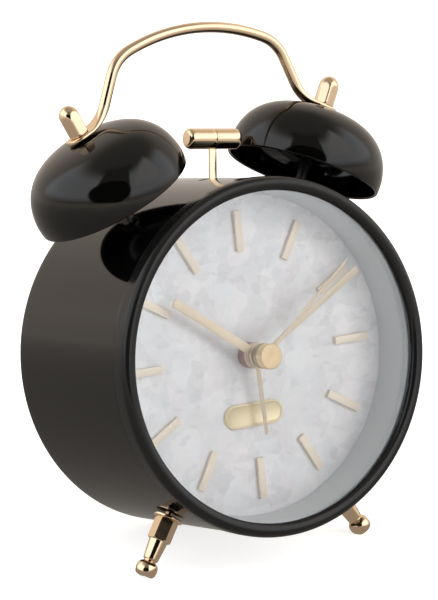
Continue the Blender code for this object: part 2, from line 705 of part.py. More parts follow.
def make_bells(case, paint):
    outer = [(BELL_RIM_RADIUS, 0.0)] + dome(BELL_RADIUS, BELL_HEIGHT, 8, BELL_POWER)[1:]
    inner = dome(BELL_RADIUS - BELL_WALL, BELL_HEIGHT - BELL_WALL, 6, BELL_POWER)[1:]
    outline = outer + [(POST_HOLE, BELL_HEIGHT), (POST_HOLE, BELL_HEIGHT - BELL_WALL)]
    outline += list(reversed(inner)) + [(BELL_RIM_RADIUS - BELL_WALL, 0.0)]
    for side, name in ((-1, "left"), (1, "right")):
        place = bell_point(side, 0.0)
        turn = (0.0, side * BELL_TILT, 0.0)
        bell = turned(outline, BELL_SIDES, ring=True, along="Z")
        put(bell.make("bell_" + name, paint["black_gloss"]), case, place, turn)

        shoulder = BELL_HEIGHT - BELL_WALL - 0.3
        post = turned([(POST_RADIUS, -13.0), (POST_RADIUS, -6.9), (2.6, -6.9), (2.6, -5.6),
                       (POST_RADIUS, -5.6), (POST_RADIUS, shoulder - 2.5), (3.0, shoulder - 2.0),
                       (3.0, shoulder), (POST_RADIUS, shoulder), (POST_RADIUS, NUT_BASE + 5.0)],
                      16, along="Z")
        put(post.make("bell_post_" + name, paint["steel"]), case, place, turn)

        hexed = hexagon(NUT_CORNERS)
        crown = [(circle(NUT_CORNERS / 2 * math.cos(t), 18), NUT_HEX + (NUT_LENGTH - NUT_HEX) * math.sin(t))
                 for t in [math.radians(a) for a in (22, 42, 60, 78)]]
        bore = circle(POST_RADIUS + 0.05, 18)
        nut = Solid("Z").stack([(bore, 5.4), (bore, 0.0), (hexed, 0.0), (hexed, NUT_HEX)] + crown)
        screwed = Matrix.Rotation(side * BELL_TILT, 3, "Y") @ Matrix.Rotation(-NUT_TURNS[name], 3, "Z")
        nut = nut.make("acorn_nut_" + name, paint["gold"])
        put(nut, case, bell_point(side, NUT_BASE), screwed.to_euler())


def unit(first, second):
    return (Vector(second) - Vector(first)).normalized()


def fillet(before, corner, after, steps=5):
    """An arc-like bend from one leg of a corner to the other, HANDLE_FILLET long on each."""
    start = Vector(corner) - unit(before, corner) * HANDLE_FILLET
    end = Vector(corner) + unit(corner, after) * HANDLE_FILLET
    points = []
    for k in range(steps + 1):
        t = k / steps
        points.append((1 - t) ** 2 * start + 2 * t * (1 - t) * Vector(corner) + t ** 2 * end)
    return points


def handle_half():
    """Centre line (x, z) of the right half, from the top to the tab's tip, with its half sizes."""
    bolt = Vector(bell_point(1, TAB_LEVEL))
    bolt = Vector((bolt.x, bolt.z))
    down = Vector((math.cos(BELL_TILT), -math.sin(BELL_TILT)))
    bow_end = 22.0
    path = []
    for k in range(7):
        x = bow_end * k / 6
        path.append((Vector((x, HANDLE_TOP - HANDLE_BOW + math.sqrt(HANDLE_BOW ** 2 - x * x))),
                     HANDLE_ROD, HANDLE_ROD, 1.0))
    for point in fillet(path[-1][0], HANDLE_SHOULDER, HANDLE_KNEE):
        path.append((point, HANDLE_ROD, HANDLE_ROD, 1.0))
    knee = fillet(HANDLE_SHOULDER, HANDLE_KNEE, bolt)
    for k, point in enumerate(knee):
        t = k / (len(knee) - 1)
        width = HANDLE_ROD + (TAB_HALF_WIDTH - HANDLE_ROD) * t * t
        path.append((point, width, HANDLE_ROD + (TAB_HALF_THICKNESS - HANDLE_ROD) * t, 1.0 - 0.4 * t))
    for k in range(6):
        angle = math.pi / 2 * k / 5.3
        point = bolt + down * TAB_END * math.sin(angle)
        width = TAB_HALF_WIDTH * math.cos(angle)
        path.append((point, width, TAB_HALF_THICKNESS, 0.6))
    return path


def make_handle(case, paint):
    half = handle_half()
    mirrored = [(Vector((-p.x, p.y)), w, h, power) for p, w, h, power in reversed(half[1:])]
    path = mirrored + half
    solid = Solid()
    loops = []
    for k, (point, width, height, power) in enumerate(path):
        before = path[max(k - 1, 0)][0]
        after = path[min(k + 1, len(path) - 1)][0]
        forward = unit(before, after)
        normal = Vector((-forward.y, forward.x))
        verts = []
        for j in range(12):
            angle = math.tau * j / 12
            across = width * math.copysign(abs(math.cos(angle)) ** power, math.cos(angle))
            out = height * math.copysign(abs(math.sin(angle)) ** power, math.sin(angle))
            spot = point + normal * out
            verts.append(solid.mesh.verts.new(Vector((spot.x, across, spot.y)) * MM))
        loops.append(verts)
    for first, second in zip(loops, loops[1:]):
        solid.wall(first, second)
    solid.mesh.faces.new(loops[0])
    solid.mesh.faces.new(loops[-1])
    handle = put(solid.make("handle", paint["gold"]), case, (0, BELL_Y, 0))
    for side, name in ((-1, "left"), (1, "right")):
        drill = turned([(POST_HOLE, 18.0), (POST_HOLE, 23.0)], 16, along="Z")
        drill = drill.make("cutter_tab_" + name, paint["steel"])
        cut(handle, put(drill, case, bell_point(side, 0.0), (0.0, side * BELL_TILT, 0.0)))


# Legs

def make_legs(case, paint):
    """Turned legs: flange, hexagon, taper, groove and rounded foot; a nut holds each inside the case."""
    hexed = hexagon(6.8)

    def ring(radius):
        return circle(radius, 18)

    for side, name in ((-1, "left"), (1, "right")):
        leg = Solid("Z").stack([
            (ring(2.0), -68.0), (ring(2.65), -67.6), (ring(3.0), -66.9), (ring(3.05), -66.0),
            (ring(2.95), -65.0), (ring(2.5), -64.2), (ring(1.75), -63.8), (ring(1.75), -63.3),
            (ring(2.15), -62.9), (ring(2.65), -57.5), (hexed, -57.3), (hexed, -50.95),
            (ring(4.25), -50.9), (ring(4.25), -50.1), (ring(LEG_SHANK), -50.1), (ring(LEG_SHANK), -44.5)])
        put(leg.make("leg_" + name, paint["gold"]), case, (0, LEG_Y, 0), leg_turn(side))
        bore = ring(LEG_SHANK + 0.05)
        nut = Solid("Z").stack([(hexed, -48.1), (hexed, -46.1), (bore, -46.1), (bore, -48.1)], ring=True)
        put(nut.make("leg_nut_" + name, paint["steel"]), case, (0, LEG_Y, 0), leg_turn(side))


# Back cover, battery bay and switch

def make_back(case, paint):
    cover = Solid()
    holes = [box(DOOR_HALF_LENGTH + 0.3, DOOR_HALF_WIDTH + 0.3, (0, BATTERY_Z)),
             circle(1.5, centre=(TIME_AXIS, 0)), circle(1.5, centre=(ALARM_AXIS, 0)),
             box(4.2, 1.6, (0, SWITCH_Z))]
    holes += [circle(1.4, centre=polar(SCREW_CIRCLE, math.radians(a))) for a in SCREW_ANGLES]
    rim = circle(COVER_RADIUS, ROUND_SIDES)
    sheets = []
    for level in (COVER_FRONT, COVER_BACK):
        sheets.append([cover.loop(outline, level) for outline in [rim] + holes])
        cover.fill(*sheets[-1])
    for first, second in zip(*sheets):
        cover.wall(first, second)
    put(cover.make("back_cover", paint["black_plastic"]), case)

    for k, angle in enumerate(SCREW_ANGLES):
        screw = turned([(1.1, 50.0), (1.1, COVER_BACK + 0.05), (2.3, COVER_BACK + 0.05),
                        (2.3, COVER_BACK + 0.6), (1.6, COVER_BACK + 1.1)], 16)
        across, up = polar(SCREW_CIRCLE, math.radians(angle))
        put(screw.make(f"cover_screw_{k + 1}", paint["steel"]), case, (across, 0, up))

    door = Solid().stack([(box(DOOR_HALF_LENGTH, DOOR_HALF_WIDTH), COVER_FRONT + 0.05),
                          (box(DOOR_HALF_LENGTH, DOOR_HALF_WIDTH), COVER_BACK),
                          (box(5.0, 2.0), COVER_BACK), (box(4.4, 1.2), COVER_BACK + 0.7)])
    put(door.make("battery_door", paint["black_plastic"]), case, (0, 0, BATTERY_Z))


def make_battery_bay(case, paint):
    front, floor, mouth = 40.0, 41.1, COVER_FRONT - 0.1
    tray = Solid()
    outer = [tray.loop(box(28.3, 8.6), level) for level in (front, mouth)]
    inner = [tray.loop(box(27.1, 7.4), level) for level in (floor, mouth)]
    tray.fill(outer[0])
    tray.fill(inner[0])
    tray.wall(outer[0], outer[1])
    tray.wall(outer[1], inner[1])
    tray.wall(inner[1], inner[0])
    put(tray.make("battery_tray", paint["black_plastic"]), case, (0, 0, BATTERY_Z))

    half = BATTERY_LENGTH / 2
    shapes = (
        ("battery", "battery_shell", 20, [(BATTERY_RADIUS - 0.4, -half), (BATTERY_RADIUS, 0.4 - half),
                                          (BATTERY_RADIUS, half - 0.4), (BATTERY_RADIUS - 0.4, half),
                                          (2.75, half), (2.75, half + 1.4)]),
        ("battery_contact_positive", "steel", 12, [(4.5, half + 1.6), (4.5, half + 2.1)]),
        ("battery_contact_negative", "steel", 12, [(5.0, -half - 2.4), (5.0, -half - 2.0),
                                                   (4.2, -half - 2.0), (2.4, -half - 0.2)]),
    )
    for name, surface, sides, outline in shapes:
        solid = turned(outline, sides, along="Z")
        for vert in solid.mesh.verts:
            vert.co = Matrix.Rotation(math.pi / 2, 3, "Y") @ vert.co
        put(solid.make(name, paint[surface]), case, (0, BATTERY_Y, BATTERY_Z))


def make_switch(case, paint):
    """Alarm on-off slider: a foot inside the cover, a neck in its slot and a thumb piece behind it."""
    slider = Solid().stack([(box(2.6, 2.6), 53.9), (box(2.6, 2.6), 55.6), (box(1.5, 1.2), 55.6),
                            (box(1.5, 1.2), COVER_BACK + 0.3), (box(2.4, 2.2), COVER_BACK + 0.3),
                            (box(2.0, 1.8), COVER_BACK + 2.0)])
    put(slider.make("alarm_switch", paint["black_plastic"]), case, (SWITCH_REST, 0, SWITCH_Z))


def stand(case):
    """Leans the case back, lifts it on to Z = 0 and levels the three places where it stands."""
    case.rotation_euler = (-LEAN, 0.0, 0.0)
    case.location = (0.0, AXIS_SHIFT * MM, AXIS_HEIGHT * MM)
    ground = Solid("Z").stack([(box(80.0, 80.0), -20.0), (box(80.0, 80.0), 0.0)])
    ground = ground.make("cutter_ground", case.data.materials[0])
    for name in ("case_drum", "leg_left", "leg_right"):
        cut(bpy.data.objects[name], ground)


def main():
    for old in list(bpy.data.objects):
        bpy.data.objects.remove(old, do_unlink=True)
    paint = make_materials()
    case = make_case(paint)
    cut_case(case, paint)
    make_bezel(case, paint)
    make_glass_and_dial(case, paint)
    make_markers(case, paint)
    make_plaque(case, paint)
    make_hands(case, paint)
    make_hub(case, paint)
    make_motion_work(case, paint)
    make_knobs(case, paint)
    make_movement(case, paint)
    make_striking_work(case, paint)
    make_hammer(case, paint)
    make_bells(case, paint)
    make_handle(case, paint)
    make_legs(case, paint)
    make_back(case, paint)
    make_battery_bay(case, paint)
    make_switch(case, paint)
    stand(case)


main()
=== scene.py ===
"""Looks for the twin-bell alarm clock: fine pieces, procedural materials, a pale floor and a light tent.

Pieces are drawn in the clock's own frame, in millimetres: the origin is the centre of the bezel's
front plane, +X to the right of the dial, +Y towards the back, +Z to 12 o'clock. The case leans back.
"""
import json
import math

import bmesh
import bpy
from mathutils import Matrix, Vector


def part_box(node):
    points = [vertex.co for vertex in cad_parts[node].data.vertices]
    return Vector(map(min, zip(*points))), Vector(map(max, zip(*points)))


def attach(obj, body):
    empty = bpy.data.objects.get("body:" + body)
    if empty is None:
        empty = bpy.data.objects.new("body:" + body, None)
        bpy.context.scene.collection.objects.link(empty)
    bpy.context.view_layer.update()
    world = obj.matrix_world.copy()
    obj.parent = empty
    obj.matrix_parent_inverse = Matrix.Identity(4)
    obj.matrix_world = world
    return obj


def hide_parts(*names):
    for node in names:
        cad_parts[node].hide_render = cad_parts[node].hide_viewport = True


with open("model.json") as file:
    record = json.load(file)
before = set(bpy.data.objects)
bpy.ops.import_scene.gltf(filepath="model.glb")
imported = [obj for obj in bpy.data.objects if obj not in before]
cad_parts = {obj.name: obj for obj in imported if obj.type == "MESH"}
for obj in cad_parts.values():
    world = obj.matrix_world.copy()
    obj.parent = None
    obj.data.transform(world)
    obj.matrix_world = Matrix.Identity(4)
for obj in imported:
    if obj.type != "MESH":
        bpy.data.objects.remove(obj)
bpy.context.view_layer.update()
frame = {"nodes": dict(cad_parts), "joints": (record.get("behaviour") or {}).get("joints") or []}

MM = 0.001
NODES = frame["nodes"]


# The clock's frame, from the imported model

def clock_frame():
    """Takes clock millimetres to metres in the row frame: the dial's axis and the bezel's front plane."""
    joint = next(j for j in frame["joints"] if j["name"] == "second_turn")
    axis = Vector(joint["axis"]).normalized()
    pivot = Vector(joint["pos_m"])
    front = min(v.co.dot(axis) for v in NODES["bezel"].data.vertices)
    origin = pivot + axis * (front - pivot.dot(axis))
    right = Vector((1.0, 0.0, 0.0))
    turn = Matrix((right, axis, right.cross(axis))).transposed().to_4x4()
    return Matrix.Translation(origin) @ turn


CLOCK = clock_frame()


def at(x=0.0, y=0.0, z=0.0, turn=0.0):
    """A place in the clock's frame, turned clockwise about the dial's axis as seen from the front."""
    return Matrix.Translation(Vector((x, y, z)) * MM) @ Matrix.Rotation(turn, 4, "Y")


# Shape helpers, all in millimetres

def arc(centre, radius, first, last, steps):
    """Points of an arc between two angles in degrees; radius may be a pair for an ellipse."""
    across, along = radius if isinstance(radius, tuple) else (radius, radius)
    points = []
    for k in range(steps + 1):
        angle = math.radians(first + (last - first) * k / steps)
        points.append((centre[0] + across * math.cos(angle), centre[1] + along * math.sin(angle)))
    return points


def line(start, end, steps):
    """Points from start up to, but not including, end."""
    return [(start[0] + (end[0] - start[0]) * k / steps, start[1] + (end[1] - start[1]) * k / steps)
            for k in range(steps)]


def polar(radius, angle, centre=(0.0, 0.0)):
    return (centre[0] + radius * math.sin(angle), centre[1] + radius * math.cos(angle))


def circle(radius, sides=48, centre=(0.0, 0.0)):
    return [polar(radius, math.tau * k / sides, centre) for k in range(sides)]


def rounded_box(half_width, half_height, radius, centre=(0.0, 0.0), steps=5):
    """A rectangle's outline with round corners, clockwise from its top right corner."""
    points = []
    for k, (i, j) in enumerate(((1, 1), (1, -1), (-1, -1), (-1, 1))):
        middle = (centre[0] + i * (half_width - radius), centre[1] + j * (half_height - radius))
        for step in range(steps + 1):
            points.append(polar(radius, math.pi / 2 * (k + step / steps), middle))
    return points


def loft(rows, ring=False):
    """A closed skin over rows of points; a row of one point is a pole, other ends are filled flat."""
    mesh = bmesh.new()
    made = [[mesh.verts.new(Vector(p) * MM) for p in row] for row in rows]
    pairs = list(zip(made, made[1:]))
    if ring:
        pairs.append((made[-1], made[0]))
    for first, second in pairs:
        count = max(len(first), len(second))
        for k in range(count):
            n = (k + 1) % count
            if len(first) == 1:
                mesh.faces.new((first[0], second[n], second[k]))
            elif len(second) == 1:
                mesh.faces.new((first[k], first[n], second[0]))
            else:
                mesh.faces.new((first[k], first[n], second[n], second[k]))
    if not ring:
        for end in (made[0], made[-1]):
            if len(end) > 1:
                mesh.faces.new(end)
    bmesh.ops.recalc_face_normals(mesh, faces=mesh.faces)
    return mesh


def level_row(outline, level, along):
    if along == "Y":
        return [(a, level, b) for a, b in outline]
    if along == "Z":
        return [(a, b, level) for a, b in outline]
    return [(level, a, b) for a, b in outline]


def lathe(profile, sides=96, ring=False, along="Y"):
    """Turns (radius, level) points about an axis."""
    rows = [level_row([(0.0, 0.0)] if r == 0 else circle(r, sides), level, along) for r, level in profile]
    return loft(rows, ring)


def turned(profile, radius_at, sides=96, along="Z"):
    """Like a lathe, with radius_at(angle, radius, level) shaping each row."""
    rows = []
    for radius, level in profile:
        if radius == 0:
            rows.append(level_row([(0.0, 0.0)], level, along))
            continue
        angles = [math.tau * k / sides for k in range(sides)]
        rows.append(level_row([polar(radius_at(a, radius, level), a) for a in angles], level, along))
    return loft(rows)


def slab(outline, front, back, bevel=0.0, steps=2, along="Y"):
    """A flat plate between two levels with its edges rounded."""
    mesh = loft([level_row(outline, front, along), level_row(outline, back, along)])
    if bevel:
        index = "XYZ".index(along)
        edges = [e for e in mesh.edges if abs(e.verts[0].co[index] - e.verts[1].co[index]) < 1e-9]
        bmesh.ops.bevel(mesh, geom=edges, offset=bevel * MM, segments=steps, profile=0.5, affect="EDGES")
    return mesh


def merged(*meshes):
    """Several closed skins as one mesh."""
    whole = bmesh.new()
    for mesh in meshes:
        data = bpy.data.meshes.new("part")
        mesh.to_mesh(data)
        mesh.free()
        whole.from_mesh(data)
        bpy.data.meshes.remove(data)
    return whole


def moved(mesh, matrix):
    mesh.transform(matrix)
    return mesh


def solid(name, mesh, place=None):
    """An object from a bmesh drawn in the clock's frame, or at a place in it; its mesh is in the row frame."""
    mesh.transform(CLOCK @ (place or Matrix.Identity(4)))
    data = bpy.data.meshes.new(name)
    mesh.to_mesh(data)
    mesh.free()
    made = bpy.data.objects.new(name, data)
    bpy.context.scene.collection.objects.link(made)
    return made


def carve(piece, *cutters):
    """Takes the cutters out of a piece and keeps the result as its mesh."""
    for cutter in cutters:
        hole = piece.modifiers.new("hole", "BOOLEAN")
        hole.operation = "DIFFERENCE"
        hole.solver = "EXACT"
        hole.object = cutter
    bpy.context.view_layer.update()
    shaped = bpy.data.meshes.new_from_object(piece.evaluated_get(bpy.context.evaluated_depsgraph_get()))
    piece.modifiers.clear()
    piece.data = shaped
    for cutter in cutters:
        bpy.data.objects.remove(cutter, do_unlink=True)


def stand_on_floor(piece):
    """Levels what would reach under the floor."""
    for vert in piece.data.vertices:
        vert.co.z = max(vert.co.z, 0.0)


def dress(piece, surface, body, nodes=(), sharp=38.0):
    """Shading, material, slot and body of a finished piece, and the CAD nodes that it stands for."""
    piece.data.materials.clear()
    piece.data.materials.append(surface)
    piece.data.shade_smooth()
    piece.data.set_sharp_from_angle(angle=math.radians(sharp))
    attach(piece, body)
    if nodes:
        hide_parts(*nodes)
    return piece


# Material helpers

class Paint:
    """A Principled material with procedural colour, roughness and relief."""

    def __init__(self, name, roughness=0.5, **sockets):
        self.made = bpy.data.materials.new(name)
        self.made.use_nodes = True
        self.tree = self.made.node_tree
        self.shader = self.tree.nodes["Principled BSDF"]
        self.place = self.tree.nodes.new("ShaderNodeTexCoord").outputs["Object"]
        self.set(Roughness=roughness, **sockets)

    def set(self, **sockets):
        for name, value in sockets.items():
            self.shader.inputs[name.replace("_", " ")].default_value = value

    def node(self, kind, inputs=None, **settings):
        made = self.tree.nodes.new("ShaderNode" + kind)
        for name, value in settings.items():
            setattr(made, name, value)
        for name, value in (inputs or {}).items():
            if isinstance(value, bpy.types.NodeSocket):
                self.tree.links.new(value, made.inputs[name])
            else:
                made.inputs[name].default_value = value
        return made

    def clock_place(self):
        """The place in the clock's own frame."""
        back = CLOCK.inverted()
        node = self.node("Mapping", {"Vector": self.place, "Location": back.translation,
                                     "Rotation": back.to_euler()})
        return node.outputs["Vector"]

    def spoke_place(self, grain=0.06):
        """Angle, depth and drawn-out distance from the dial's axis, for grain that runs outwards."""
        parts = self.node("SeparateXYZ", {"Vector": self.clock_place()}).outputs
        angle = self.maths("MULTIPLY", self.maths("ARCTAN2", parts["X"], parts["Z"]), 0.035)
        flat = self.node("CombineXYZ", {"X": parts["X"], "Z": parts["Z"]}).outputs[0]
        reach = self.node("VectorMath", {0: flat}, operation="LENGTH").outputs["Value"]
        drawn = self.maths("MULTIPLY", reach, grain)
        return self.node("CombineXYZ", {"X": angle, "Y": parts["Y"], "Z": drawn}).outputs[0]

    def stretch(self, scale, turn=(0.0, 0.0, 0.0), place=None):
        node = self.node("Mapping", {"Vector": place or self.place, "Scale": scale, "Rotation": turn})
        return node.outputs["Vector"]

    def noise(self, size, detail=3.0, roughness=0.55, place=None):
        """Noise with features about size millimetres across."""
        node = self.node("TexNoise", {"Vector": place or self.place, "Scale": 1.0 / (size * MM),
                                      "Detail": detail, "Roughness": roughness})
        return node.outputs["Fac"]

    def cells(self, size, place, output="Color", **settings):
        """Cells about size millimetres across."""
        node = self.node("TexVoronoi", {"Vector": place, "Scale": 1.0 / (size * MM)}, **settings)
        return node.outputs[output]

    def spread(self, value, low, high, source=(0.25, 0.75)):
        """Remaps a value to a range, clamped."""
        node = self.node("MapRange", {"Value": value, "From Min": source[0], "From Max": source[1],
                                      "To Min": low, "To Max": high})
        return node.outputs["Result"]

    def maths(self, operation, first, second=0.0):
        node = self.node("Math", {0: first, 1: second}, operation=operation)
        return node.outputs[0]

    def blend(self, share, first, second, kind="MIX"):
        node = self.tree.nodes.new("ShaderNodeMix")
        node.data_type = "RGBA"
        node.blend_type = kind
        for socket, value in ((node.inputs[0], share), (node.inputs[6], first), (node.inputs[7], second)):
            if isinstance(value, bpy.types.NodeSocket):
                self.tree.links.new(value, socket)
            elif isinstance(value, tuple):
                socket.default_value = (*value, 1.0)
            else:
                socket.default_value = value
        return node.outputs[2]

    def colour(self, value):
        self.tree.links.new(value, self.shader.inputs["Base Color"])

    def rough(self, value):
        self.tree.links.new(value, self.shader.inputs["Roughness"])

    def relief(self, height, depth):
        """Bumps of the given depth in millimetres."""
        bump = self.node("Bump", {"Height": height, "Distance": depth * MM, "Strength": 1.0})
        self.tree.links.new(bump.outputs["Normal"], self.shader.inputs["Normal"])

    def show(self, surface):
        """Puts another shader on the material's output."""
        output = next(n for n in self.tree.nodes if n.type == "OUTPUT_MATERIAL")
        self.tree.links.new(surface, output.inputs["Surface"])


def lacquer():
    """Black gloss lacquer: faint orange peel, and a little haze in the gloss."""
    paint = Paint("black_lacquer", IOR=1.5)
    paint.colour(paint.blend(paint.noise(30.0), (0.0008, 0.0008, 0.0007), (0.0016, 0.0015, 0.0014)))
    paint.rough(paint.spread(paint.noise(11.0, 5.0), 0.045, 0.085))
    paint.relief(paint.noise(3.2, 2.0), 0.0022)
    return paint.made


def satin_black():
    paint = Paint("bezel_satin_black", IOR=1.42)
    paint.colour(paint.blend(paint.noise(14.0), (0.0045, 0.0046, 0.0046), (0.0065, 0.0066, 0.0066)))
    paint.rough(paint.spread(paint.noise(2.0, 6.0), 0.13, 0.19))
    paint.relief(paint.noise(0.35, 4.0), 0.0015)
    return paint.made


def polished_gold(name="polished_gold", low=0.09, high=0.14, light=(0.92, 0.71, 0.49), metallic=1.0):
    """Rose-tinted gold plate with slight clouding in its polish."""
    paint = Paint(name, Metallic=metallic)
    paint.colour(paint.blend(paint.noise(9.0, 4.0), light, tuple(min(0.98, c * 1.05) for c in light)))
    paint.rough(paint.spread(paint.noise(4.0, 5.0), low, high))
    paint.relief(paint.noise(1.4, 3.0), 0.0008)
    return paint.made


def turned_gold():
    """Lathe-cut brass-gold of the hub, with fine rings about the dial's axis."""
    paint = Paint("turned_gold", Metallic=0.5)
    wave = paint.node("TexWave", {"Vector": paint.clock_place(), "Scale": 900.0, "Distortion": 0.6, "Detail": 2.0},
                      wave_type="RINGS", rings_direction="Y")
    rings = wave.outputs["Fac"]
    paint.colour(paint.blend(rings, (0.97, 0.73, 0.43), (1.0, 0.78, 0.48)))
    paint.rough(paint.spread(rings, 0.27, 0.33, (0.0, 1.0)))
    paint.relief(rings, 0.0015)
    return paint.made


def brushed(name, dark, light, low=0.42, high=0.54, metallic=0.45):
    """Satin metal with fine grain that runs outwards from the dial's axis."""
    paint = Paint(name, Metallic=metallic)
    lines = paint.noise(0.16, 3.0, 0.6, paint.spoke_place())
    paint.colour(paint.blend(paint.spread(lines, 0.0, 1.0, (0.3, 0.7)), dark, light))
    paint.rough(paint.spread(lines, low, high))
    paint.relief(lines, 0.002)
    return paint.made


def pearl():
    """Mother-of-pearl laid in angular shards, each with its own tone and tilt, under clear lacquer."""
    paint = Paint("mother_of_pearl", IOR=1.45, Coat_Weight=0.15, Coat_Roughness=0.12)
    clock = paint.clock_place()
    sway = paint.node("TexNoise", {"Vector": clock, "Scale": 120.0, "Detail": 2.0}).outputs["Color"]
    warp = paint.node("VectorMath", {0: sway, 1: (0.0035, 0.0035, 0.0035)}, operation="MULTIPLY").outputs[0]
    bent = paint.node("VectorMath", {0: clock, 1: warp}, operation="ADD").outputs[0]
    slant = paint.stretch((1.0, 1.0, 0.55), (0.0, 0.6, 0.0), bent)
    cross = paint.stretch((0.6, 1.0, 1.0), (0.0, -0.4, 0.0), bent)
    broad = paint.cells(5.2, slant, distance="CHEBYCHEV")
    small = paint.cells(2.6, cross, distance="MANHATTAN")
    broad_tone = paint.node("SeparateColor", {"Color": broad}).outputs[0]
    small_tone = paint.node("SeparateColor", {"Color": small}).outputs[1]
    streak = paint.noise(0.9, 4.0, 0.6, paint.stretch((1.0, 1.0, 0.18), (0.0, 0.5, 0.0), clock))
    tone = paint.maths("ADD", paint.maths("MULTIPLY", broad_tone, 0.50), paint.maths("MULTIPLY", small_tone, 0.32))
    tone = paint.maths("ADD", tone, paint.maths("MULTIPLY", streak, 0.18))
    base = paint.blend(paint.spread(tone, 0.0, 1.0, (0.15, 0.85)), (0.77, 0.765, 0.775), (0.95, 0.94, 0.94))
    edge = paint.cells(3.2, cross, "Distance", feature="DISTANCE_TO_EDGE")
    crease = paint.maths("MULTIPLY", paint.spread(edge, 0.45, 0.0, (0.0, 0.09)), streak)
    base = paint.blend(crease, base, (0.98, 0.975, 0.98))
    tint = paint.blend(paint.node("SeparateColor", {"Color": broad}).outputs[2],
                       (0.96, 0.98, 1.0), (1.0, 0.975, 0.995))
    paint.colour(paint.blend(1.0, base, tint, "MULTIPLY"))
    paint.rough(paint.spread(small_tone, 0.24, 0.42, (0.0, 1.0)))
    paint.relief(tone, 0.03)
    return paint.made


def ring_paint():
    """Matt grey-blue of the reflector ring, with painted shade: a little lighter towards the glass and darker
    deeper in the recess.
    """
    paint = Paint("reflector_grey_painted_shade")
    depth = paint.node("SeparateXYZ", {"Vector": paint.clock_place()}).outputs["Y"]
    # Painted shade: the grey darkens with depth, away from the glass, into the recess behind it.
    base = paint.blend(paint.spread(depth, 0.0, 1.0, (0.0045, 0.0065)), (0.78, 0.81, 0.82), (0.70, 0.725, 0.735))
    speck = paint.noise(0.5, 5.0)
    paint.colour(paint.blend(0.06, base, paint.blend(speck, (0.40, 0.43, 0.45), (0.75, 0.78, 0.80))))
    paint.rough(paint.spread(speck, 0.42, 0.55))
    paint.relief(paint.noise(0.3, 3.0), 0.004)
    return paint.made


def glass():
    """Flat mineral glass: what it mirrors, over a nearly clear sheet."""
    paint = Paint("mineral_glass")
    paint.tree.nodes.remove(paint.shader)
    clear = paint.node("BsdfTransparent", {"Color": (0.985, 0.99, 0.99, 1.0)})
    smear = paint.spread(paint.noise(9.0, 4.0), 0.012, 0.035)
    mirror = paint.node("BsdfGlossy", {"Roughness": smear, "Color": (0.95, 0.97, 1.0, 1.0)})
    share = paint.node("Fresnel", {"IOR": 1.45})
    mix = paint.node("MixShader", {0: share.outputs[0], 1: clear.outputs[0], 2: mirror.outputs[0]})
    paint.show(mix.outputs[0])
    return paint.made


def plastic(name, dark, light, low=0.42, high=0.58, grain=0.45, depth=0.02):
    """Moulded plastic with a fine spark-eroded texture."""
    paint = Paint(name, IOR=1.48)
    paint.colour(paint.blend(paint.noise(9.0, 4.0), dark, light))
    paint.rough(paint.spread(paint.noise(1.5, 4.0), low, high))
    paint.relief(paint.noise(grain, 4.0, 0.65), depth)
    return paint.made


def metal(name, dark, light, low=0.20, high=0.38):
    """Plain machined metal with fine scratches."""
    paint = Paint(name, Metallic=1.0)
    scratch = paint.noise(0.5, 5.0, 0.65, paint.stretch((1.0, 0.25, 1.0)))
    paint.colour(paint.blend(scratch, dark, light))
    paint.rough(paint.spread(scratch, low, high))
    paint.relief(scratch, 0.004)
    return paint.made


def circuit():
    """Green solder mask with lighter copper traces under it."""
    paint = Paint("circuit_green", Coat_Weight=0.3, Coat_Roughness=0.15)
    traces = paint.node("TexBrick", {"Vector": paint.stretch((1.0, 1.0, 1.0), (math.pi / 2, 0.0, 0.0)),
                                     "Scale": 700.0, "Mortar Size": 0.06, "Bias": 0.0,
                                     "Color1": (0.02, 0.16, 0.07, 1.0), "Color2": (0.02, 0.14, 0.06, 1.0),
                                     "Mortar": (0.05, 0.26, 0.11, 1.0)}).outputs["Color"]
    paint.colour(traces)
    paint.rough(paint.spread(paint.noise(2.0, 4.0), 0.32, 0.48))
    return paint.made


def battery_paint():
    """A plain cell's sleeve: dark body, copper-coloured band at its positive end, bare metal ends."""
    low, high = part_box("battery")
    paint = Paint("battery_sleeve", Coat_Weight=0.4, Coat_Roughness=0.1)
    along = paint.node("SeparateXYZ", {"Vector": paint.place}).outputs["X"]
    span = high.x - low.x
    band = paint.maths("GREATER_THAN", along, high.x - 0.30 * span)
    bare = paint.maths("GREATER_THAN", along, high.x - 0.035 * span)
    sleeve = paint.blend(band, (0.018, 0.019, 0.021), (0.48, 0.25, 0.12))
    paint.colour(paint.blend(bare, sleeve, (0.62, 0.62, 0.63)))
    paint.rough(paint.spread(paint.noise(3.0, 5.0), 0.24, 0.36))
    return paint.made


# Case, bezel, glass and dial

CASE_RADIUS = 49.6
CASE_INNER = 48.6
CASE_FRONT = 6.25
CASE_BACK = 58.56
RIM_ROUND = 1.5
HAMMER_Y = 27.0
DIAL_FRONT = 15.75
SEAT = 0.05


